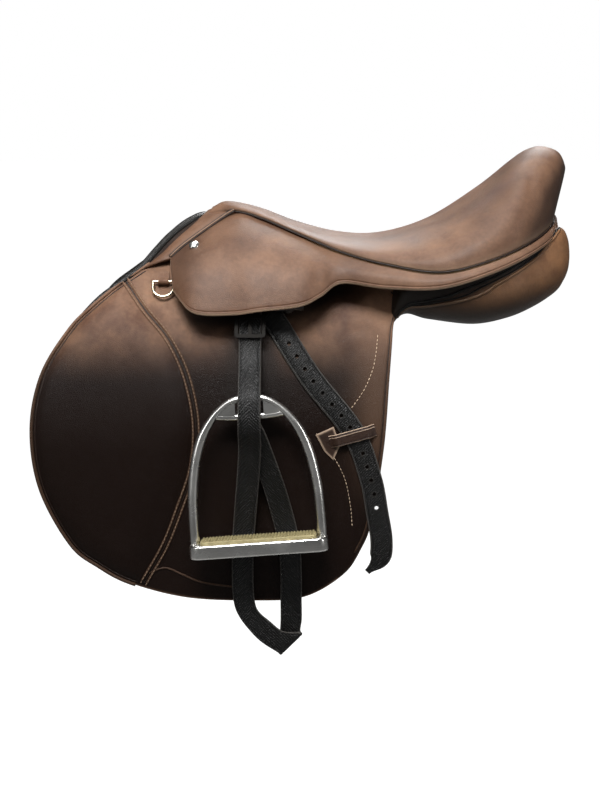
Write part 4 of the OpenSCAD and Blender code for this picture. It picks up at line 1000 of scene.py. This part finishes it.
# the run's places are shares of width, out and drop; its straight ends give out and drop alone
leatherDown = [(.115, -.0175), (.17, -.05), (.23, -.1), (.36, -.155), (.5, -.195), (.595, -.225), (.645, -.25),
               (.68, -.275), (.69, -.295), (.67, -.325), (.57, -.39)]
leatherTuck = [(-.28, .47, -.515, .5, 0), (-.44, .417, -.64, .49, 0), (-.48, .41, -.74, .48, 0),
               (-.42, .41, -.8125, .48, 0), (-.22, .412, -.85, .46, .09), (.26, .415, -.885, .45, .22),
               (.84, .418, -.9175, .48, .26), (1.58, .415, -.934, .5, .48), (1.66, .39, -.94, .5, .5),
               (1.6, .364, -.931, .5, .48), (1.68, .362, -.8775, .485, .12), (1.68, .362, -.8125, .48, 0),
               (1.68, .363, -.74, .48, 0), (1.56, .372, -.64, .49, 0), (1.08, .418, -.515, .5, 0),
               (.44, .52, -.39, .5, 0), (.08, .615, -.325, .5, 0)]  # with half width and twist
leatherUp = [(.64, -.2975), (.636, -.28), (.6, -.26625), (.545, -.26), (.498, -.2555), (.456, -.245), (.444, -.23),
             (.39, -.21), (.28, -.175), (.16, -.125), (.085, -.08), (.025, -.0435)]
leatherShares = [(leather["shift"], a, b, .5, 0) for a, b in leatherDown] + leatherTuck
leatherShares += [(leather["shift"], a, b, .5, 0) for a, b in leatherUp]

# across a strap: shares of half width and half thickness, with a crease inside each edge
strapEdge = [(1, 0), (.985, .55), (.94, .92), (.88, 1), (.8, .98), (.765, .72), (.73, .98), (.6, 1)]
strapProfile = [(-a, b) for a, b in strapEdge] + [(0, 1.03)] + strapEdge[::-1]
strapRound = strapProfile + [(a, -b) for a, b in strapProfile[-2:0:-1]]
strapRub = [0.8 if abs(a) > .93 else 0.0 for a, b in strapRound]


def strapPiece(name, line, halves, thick, side, material):
    up = unit(np.cross(tangents(line), halves))
    verts = [line[i] + a * halves[i] + b * thick / 2 * up[i] for i in range(len(line)) for a, b in strapRound]
    return makePiece(name, verts, loftFaces(len(line), len(strapRound)), material, side, {"rub": strapRub * len(line)})


def leatherRows():  # over the bar, then down, tucked at the bottom and up again
    w, r, x, u, z = leather["width"], leather["loop"], barrel["barX"], leather["barU"], barrel["barZ"]
    tilt = math.asin((z - barrel["axisZ"]) / (barrel["face"] + leather["barStand"]))
    rows = []
    for k in range(leather["loopSteps"] + 1):
        a = tilt + math.pi - math.pi * k / leather["loopSteps"]
        rows.append((x + leather["shift"] * w, u + r * math.cos(a), z + r * math.sin(a), w / 2, 0, 0))
    run = [(x + s[0] * w, u + s[1] * leather["out"], z + s[2] * leather["drop"], s[3] * w, 0, s[4] * w)
           for s in leatherShares]
    return np.vstack([rows, catmull(run, leather["steps"])])


def makeLeather(name, side):
    rows = leatherRows()
    obj = strapPiece(name + "StirrupLeather", rows[:, :3], rows[:, 3:], leather["thick"], side, finish["strap"])
    settle(obj, name + "_leather", "black_leather", name + "_stirrup_leather")


eachSide(makeLeather)
print("stirrup leathers made")


# keepers that hold the tails down
keeper = {"x": -25.0, "z": -113.1, "length": 52.0, "width": 13.5, "turn": 15.0, "thick": 2.4, "foot": 1.0, "rise": 5.4,
          "riseRun": (1.0, 9.0), "points": 41, "line": 0.5, "lineAt": 0.5, "lineRub": 0.6}


def makeKeeper(name, side):
    q, half, h = math.radians(keeper["turn"]), keeper["length"] / 2, keeper["width"] / 2
    s = np.linspace(-half, half, keeper["points"])
    rise = keeper["foot"] + keeper["rise"] * smooth(half - np.abs(s), *keeper["riseRun"])
    x, z = keeper["x"] + s * math.cos(q), keeper["z"] + s * math.sin(q)
    line = barrelPoint(x, z, rise)
    upper = barrelPoint(x - h * math.sin(q), z + h * math.cos(q), rise)
    lower = barrelPoint(x + h * math.sin(q), z - h * math.cos(q), rise)
    obj = strapPiece(name + "FlapKeeper", line, (upper - lower) / 2, keeper["thick"], side, finish["keeper"])
    settle(obj, name + "_flap", "flap_leather", name + "_flap_keeper")
    out = unit(np.cross(tangents(line), upper - lower)) * -keeper["thick"] / 2
    mark = [(line + (upper - line) * keeper["lineAt"] + out, keeper["line"])]
    obj = makeTubes(name + "KeeperLine", mark, finish["keeper"], side, 8, keeper["lineRub"])
    settle(obj, name + "_flap", "flap_leather")


# free tails of the stirrup leathers, punched along the middle
tail = {"width": 25.0, "thick": 3.2, "base": 0.6, "pitch": 16.0, "first": 38.0, "holes": 14, "hole": 2.3, "cell": 8.0,
        "tip": 0.74, "tipLength": 27.0}
tailShares = [(.045, -.025), (.07, -.06), (.16, -.205), (.275, -.36), (.325, -.5), (.345, -.61), (.357, -.69),
              (.352, -.75), (.318, -.79)]
punch = {"points": 400, "sides": 16, "gap": 6.0, "tipGap": 3.0, "tipEnd": 2.0, "rub": 0.3, "sharp": 50}
halfColumns = [(1, -.9, .8), (.97, -.25, .8), (.9, 0, .4), (.84, 0, 0), (.79, -.5, 0), (.74, 0, 0), (.3, 0, 0)]
punchColumns = [(-c, lift, rub) for c, lift, rub in halfColumns] + halfColumns[::-1]  # place, height and wear


def punchedStrap(line, size):
    line = byLength(line, punch["points"])
    total = lineLength(line)
    run = np.linspace(0, total, len(line))
    t = tangents(line)
    across = np.stack([-t[:, 1], t[:, 0]], 1)

    def place(a, b, h):
        a = min(max(a, 0), total)
        q = [np.interp(a, run, line[:, k]) + b * np.interp(a, run, across[:, k]) for k in (0, 1)]
        return barrelPoint(q[0], q[1], h)

    half, cell, n, cols = size["width"] / 2, size["cell"], punch["sides"], len(punchColumns)
    first = (size["first"] if size["first"] > 0 else total + size["first"]) - cell / 2
    stops = list(np.arange(0, first - 1, punch["gap"]))
    for k in range(size["holes"]):
        a = first + k * size["pitch"]
        stops += [a, a + cell, a + (cell + size["pitch"]) / 2]
    step = punch["tipGap"]
    stops = stops[:-1] + list(np.arange(stops[-2] + step, total - punch["tipEnd"], step)) + [total]
    verts, faces, rub = [], [], []
    for level, flip in ((size["base"] + size["thick"], 1), (size["base"], -1)):
        base = len(verts)
        for a in stops:
            taper = 1 - size["tip"] * smooth(a, total - size["tipLength"], total)
            verts += [place(a, c * half * taper, level + lift * flip) for c, lift, _ in punchColumns]
            rub += [wear for _, _, wear in punchColumns]
        for i in range(len(stops) - 1):
            holed = abs(stops[i + 1] - stops[i] - cell) < 1e-6
            for j in range(cols - 1):
                a, b = base + i * cols + j, base + (i + 1) * cols + j
                if not (holed and j == cols // 2 - 1):
                    faces.append((a, a + 1, b + 1, b))
                    continue
                k, mid = len(verts), (stops[i] + stops[i + 1]) / 2
                for m in range(n):
                    q = 2 * math.pi * (m + 0.5) / n
                    verts.append(place(mid + size["hole"] * math.cos(q), size["hole"] * math.sin(q), level))
                rub += [punch["rub"]] * n
                corners, quarter = (b + 1, a + 1, a, b), n // 4
                for e in range(4):
                    ring = [k + (quarter // 2 + quarter * e + m) % n for m in range(quarter + 1)]
                    faces.append((corners[e], corners[(e + 1) % 4], *ring[::-1]))
    base = len(verts) // 2
    for k in range(len(stops) * cols, base, n):  # walls of the holes
        ring = range(k, k + n)
        faces += [(ring[m], ring[(m + 1) % n], ring[(m + 1) % n] + base, ring[m] + base) for m in range(n)]
    return verts, faces + rimFaces(len(stops), cols, base), rub


def makeTail(name, side):
    verts, faces, rub = punchedStrap(catmull(flapShare(tailShares), 12), tail)
    obj = makePiece(name + "LeatherTail", verts, faces, finish["tail"], side, {"rub": rub}, punch["sharp"])
    hang(obj, name, side, "black_leather", name + "_leather_tail")


# girth billets, three a side
billet = {"width": 25.0, "thick": 4.0, "base": -11.6, "pitch": 25.0, "first": -170.0, "holes": 6, "hole": 2.4,
          "cell": 8.0, "tip": 0.5, "tipLength": 14.0, "places": (-138.0, -100.0, -62.0), "top": 0.0, "low": -256.7}


def makeBillets(name, side):
    straps = [punchedStrap([(x, billet["top"]), (x, billet["low"])], billet)[:2] for x in billet["places"]]
    obj = makePiece(name + "Billets", *joined(straps), finish["dark"], side, sharp=punch["sharp"])
    settle(obj, "saddle", "dark_leather", name + "_billets")


eachSide(makeKeeper, makeTail, makeBillets)
print("keepers, tails and billets made")


# stirrup irons with a slotted crown and a bevelled tread
iron = {"eye": (-139.0, 161.0, -68.0), "tilt": 6.0, "roll": 4.0, "half": 69.5, "height": 155.0, "points": 180,
        "sides": 24, "branch": 6.0, "crown": 4.2, "growRun": (2, 45), "squash": 0.9, "bar": 3.4, "barSides": 16,
        "barSquash": 1.1, "web": 3.2, "treadLength": 151.0, "treadWidth": 44.0, "treadHeight": 15.0, "corner": 12.0,
        "bevel": 2.2, "sharp": 40}
archShares = [(0, .004), (.14, .002), (.27, -.012), (.4, -.045), (.58, -.12), (.77, -.25), (.9, -.42), (.98, -.64),
              (1, -.85), (1, -1.0)]
slotBar = catmull([(-36, 0, -17.5), (-20, 0, -19.2), (0, 0, -19.6), (20, 0, -19.2), (36, 0, -17.5)], 8)
slotWeb = [(15.5, -1), (19, -2), (28, -6), (36, -13), (38, -18), (28, -21), (15.5, -21)]  # closes an end of the slot


def hangIron(points):
    p = np.array(points, float)
    r, t = math.radians(-iron["roll"]), math.radians(iron["tilt"])
    x = p[:, 0] * math.cos(r) + p[:, 2] * math.sin(r)
    z = -p[:, 0] * math.sin(r) + p[:, 2] * math.cos(r)
    y = p[:, 1]
    place = np.stack([x, y * math.cos(t) - z * math.sin(t), y * math.sin(t) + z * math.cos(t)], 1)
    return place + np.array(iron["eye"])


def roundedRing(length, width, corner, z, steps=8):
    out = []
    for cx, cy, start in ((1, 1, 0), (-1, 1, 90), (-1, -1, 180), (1, -1, 270)):
        for k in range(steps + 1):
            a = math.radians(start + 90 * k / steps)
            out.append((cx * (length / 2 - corner) + corner * math.cos(a),
                        cy * (width / 2 - corner) + corner * math.sin(a), z))
    return out


def bevelBlock(length, width, corner, low, high, bevel, steps=4):
    rings = []
    for k in range(steps + 1):
        a = math.radians(90 * k / steps)
        rings.append((bevel * (1 - math.sin(a)), low + bevel * (1 - math.cos(a))))
    rings += [(d, high + low - z) for d, z in rings[::-1]]
    verts = [p for d, z in rings for p in roundedRing(length - 2 * d, width - 2 * d, max(corner - d, 0.5), z)]
    return verts, loftFaces(len(rings), len(verts) // len(rings))


def makeIron(name, side):
    right = catmull([(a * iron["half"], 0, b * iron["height"]) for a, b in archShares], 10)
    line = byLength(np.vstack([(right * np.array([-1, 1, 1]))[:0:-1], right]), iron["points"])
    radius = iron["crown"] + (iron["branch"] - iron["crown"]) * smooth(-line[:, 2], *iron["growRun"])
    tubes = ((line, radius, iron["sides"], iron["squash"]), (slotBar, iron["bar"], iron["barSides"], iron["barSquash"]))
    parts = [(tubeRings(path, r, count, squash, (0, 1, 0)), loftFaces(len(path), count))
             for path, r, count, squash in tubes]
    k = len(slotWeb)
    webFaces = [tuple(range(k)), tuple(range(k, 2 * k))]
    webFaces += [(i, (i + 1) % k, k + (i + 1) % k, k + i) for i in range(k)]
    parts += [([(end * x, y, z) for y in (-iron["web"], iron["web"]) for x, z in slotWeb], webFaces) for end in (1, -1)]
    parts.append(bevelBlock(iron["treadLength"], iron["treadWidth"], iron["corner"],
                            -iron["height"] - iron["treadHeight"], -iron["height"], iron["bevel"]))
    verts, faces = joined(parts)
    obj = makePiece(name + "StirrupIron", hangIron(verts), faces, finish["steel"], side, sharp=iron["sharp"])
    settle(obj, name + "_iron", "polished_steel", name + "_stirrup_iron")


# ridged rubber in the treads
tread = {"length": 127.0, "width": 33.2, "corner": 6.0, "low": -160.6, "high": -151.6, "bevel": 1.2, "ends": 60.5,
         "sharp": 40, "ridgeSharp": 50}
ridge = {"Pitch": 3.4, "Length": 29.5, "Width": 2.5}


def makeTread(name, side):
    verts, faces = bevelBlock(*(tread[key] for key in ("length", "width", "corner", "low", "high", "bevel")))
    obj = makePiece(name + "TreadPad", hangIron(verts), faces, finish["rubber"], side, sharp=tread["sharp"])
    settle(obj, name + "_iron", "tread_rubber", name + "_tread_pad")
    line = [(-tread["ends"], 0, tread["high"]), (tread["ends"], 0, tread["high"])]
    obj = makeRows(name + "TreadRidges", ridgeRows, [line], ridge, finish["rubber"])
    place = np.zeros(len(obj.data.vertices) * 3)
    obj.data.vertices.foreach_get("co", place)
    place = hangIron(place.reshape(-1, 3) * 1000) * np.array([0.001, 0.001 * side, 0.001])
    obj.data.vertices.foreach_set("co", place.ravel())
    if side < 0:
        obj.data.flip_normals()
    obj.data.set_sharp_from_angle(angle=math.radians(tread["ridgeSharp"]))
    settle(obj, name + "_iron", "tread_rubber")


eachSide(makeIron, makeTread)
print("irons and treads made")


# CAD nodes that keep their shape get their finish here
nodeFinish = {"tree_head": "wood", "tree_frame": "wood", "tree_rivets": "iron", "seat_webbing": "web",
              "saddle_nails": "steel", "panel_screws": "iron", "stirrup_bar": "iron", "bar_catch": "iron",
              "leather_buckle": "blackened", "dee_staple": "flap", "dee_ring": "nickel"}


def dressNodes():
    for key, obj in nodes.items():
        plain = key.replace("near_", "").replace("off_", "")
        if plain in nodeFinish:
            obj.data.materials.clear()
            obj.data.materials.append(finish[nodeFinish[plain]])


dressNodes()
print("frame nodes dressed")
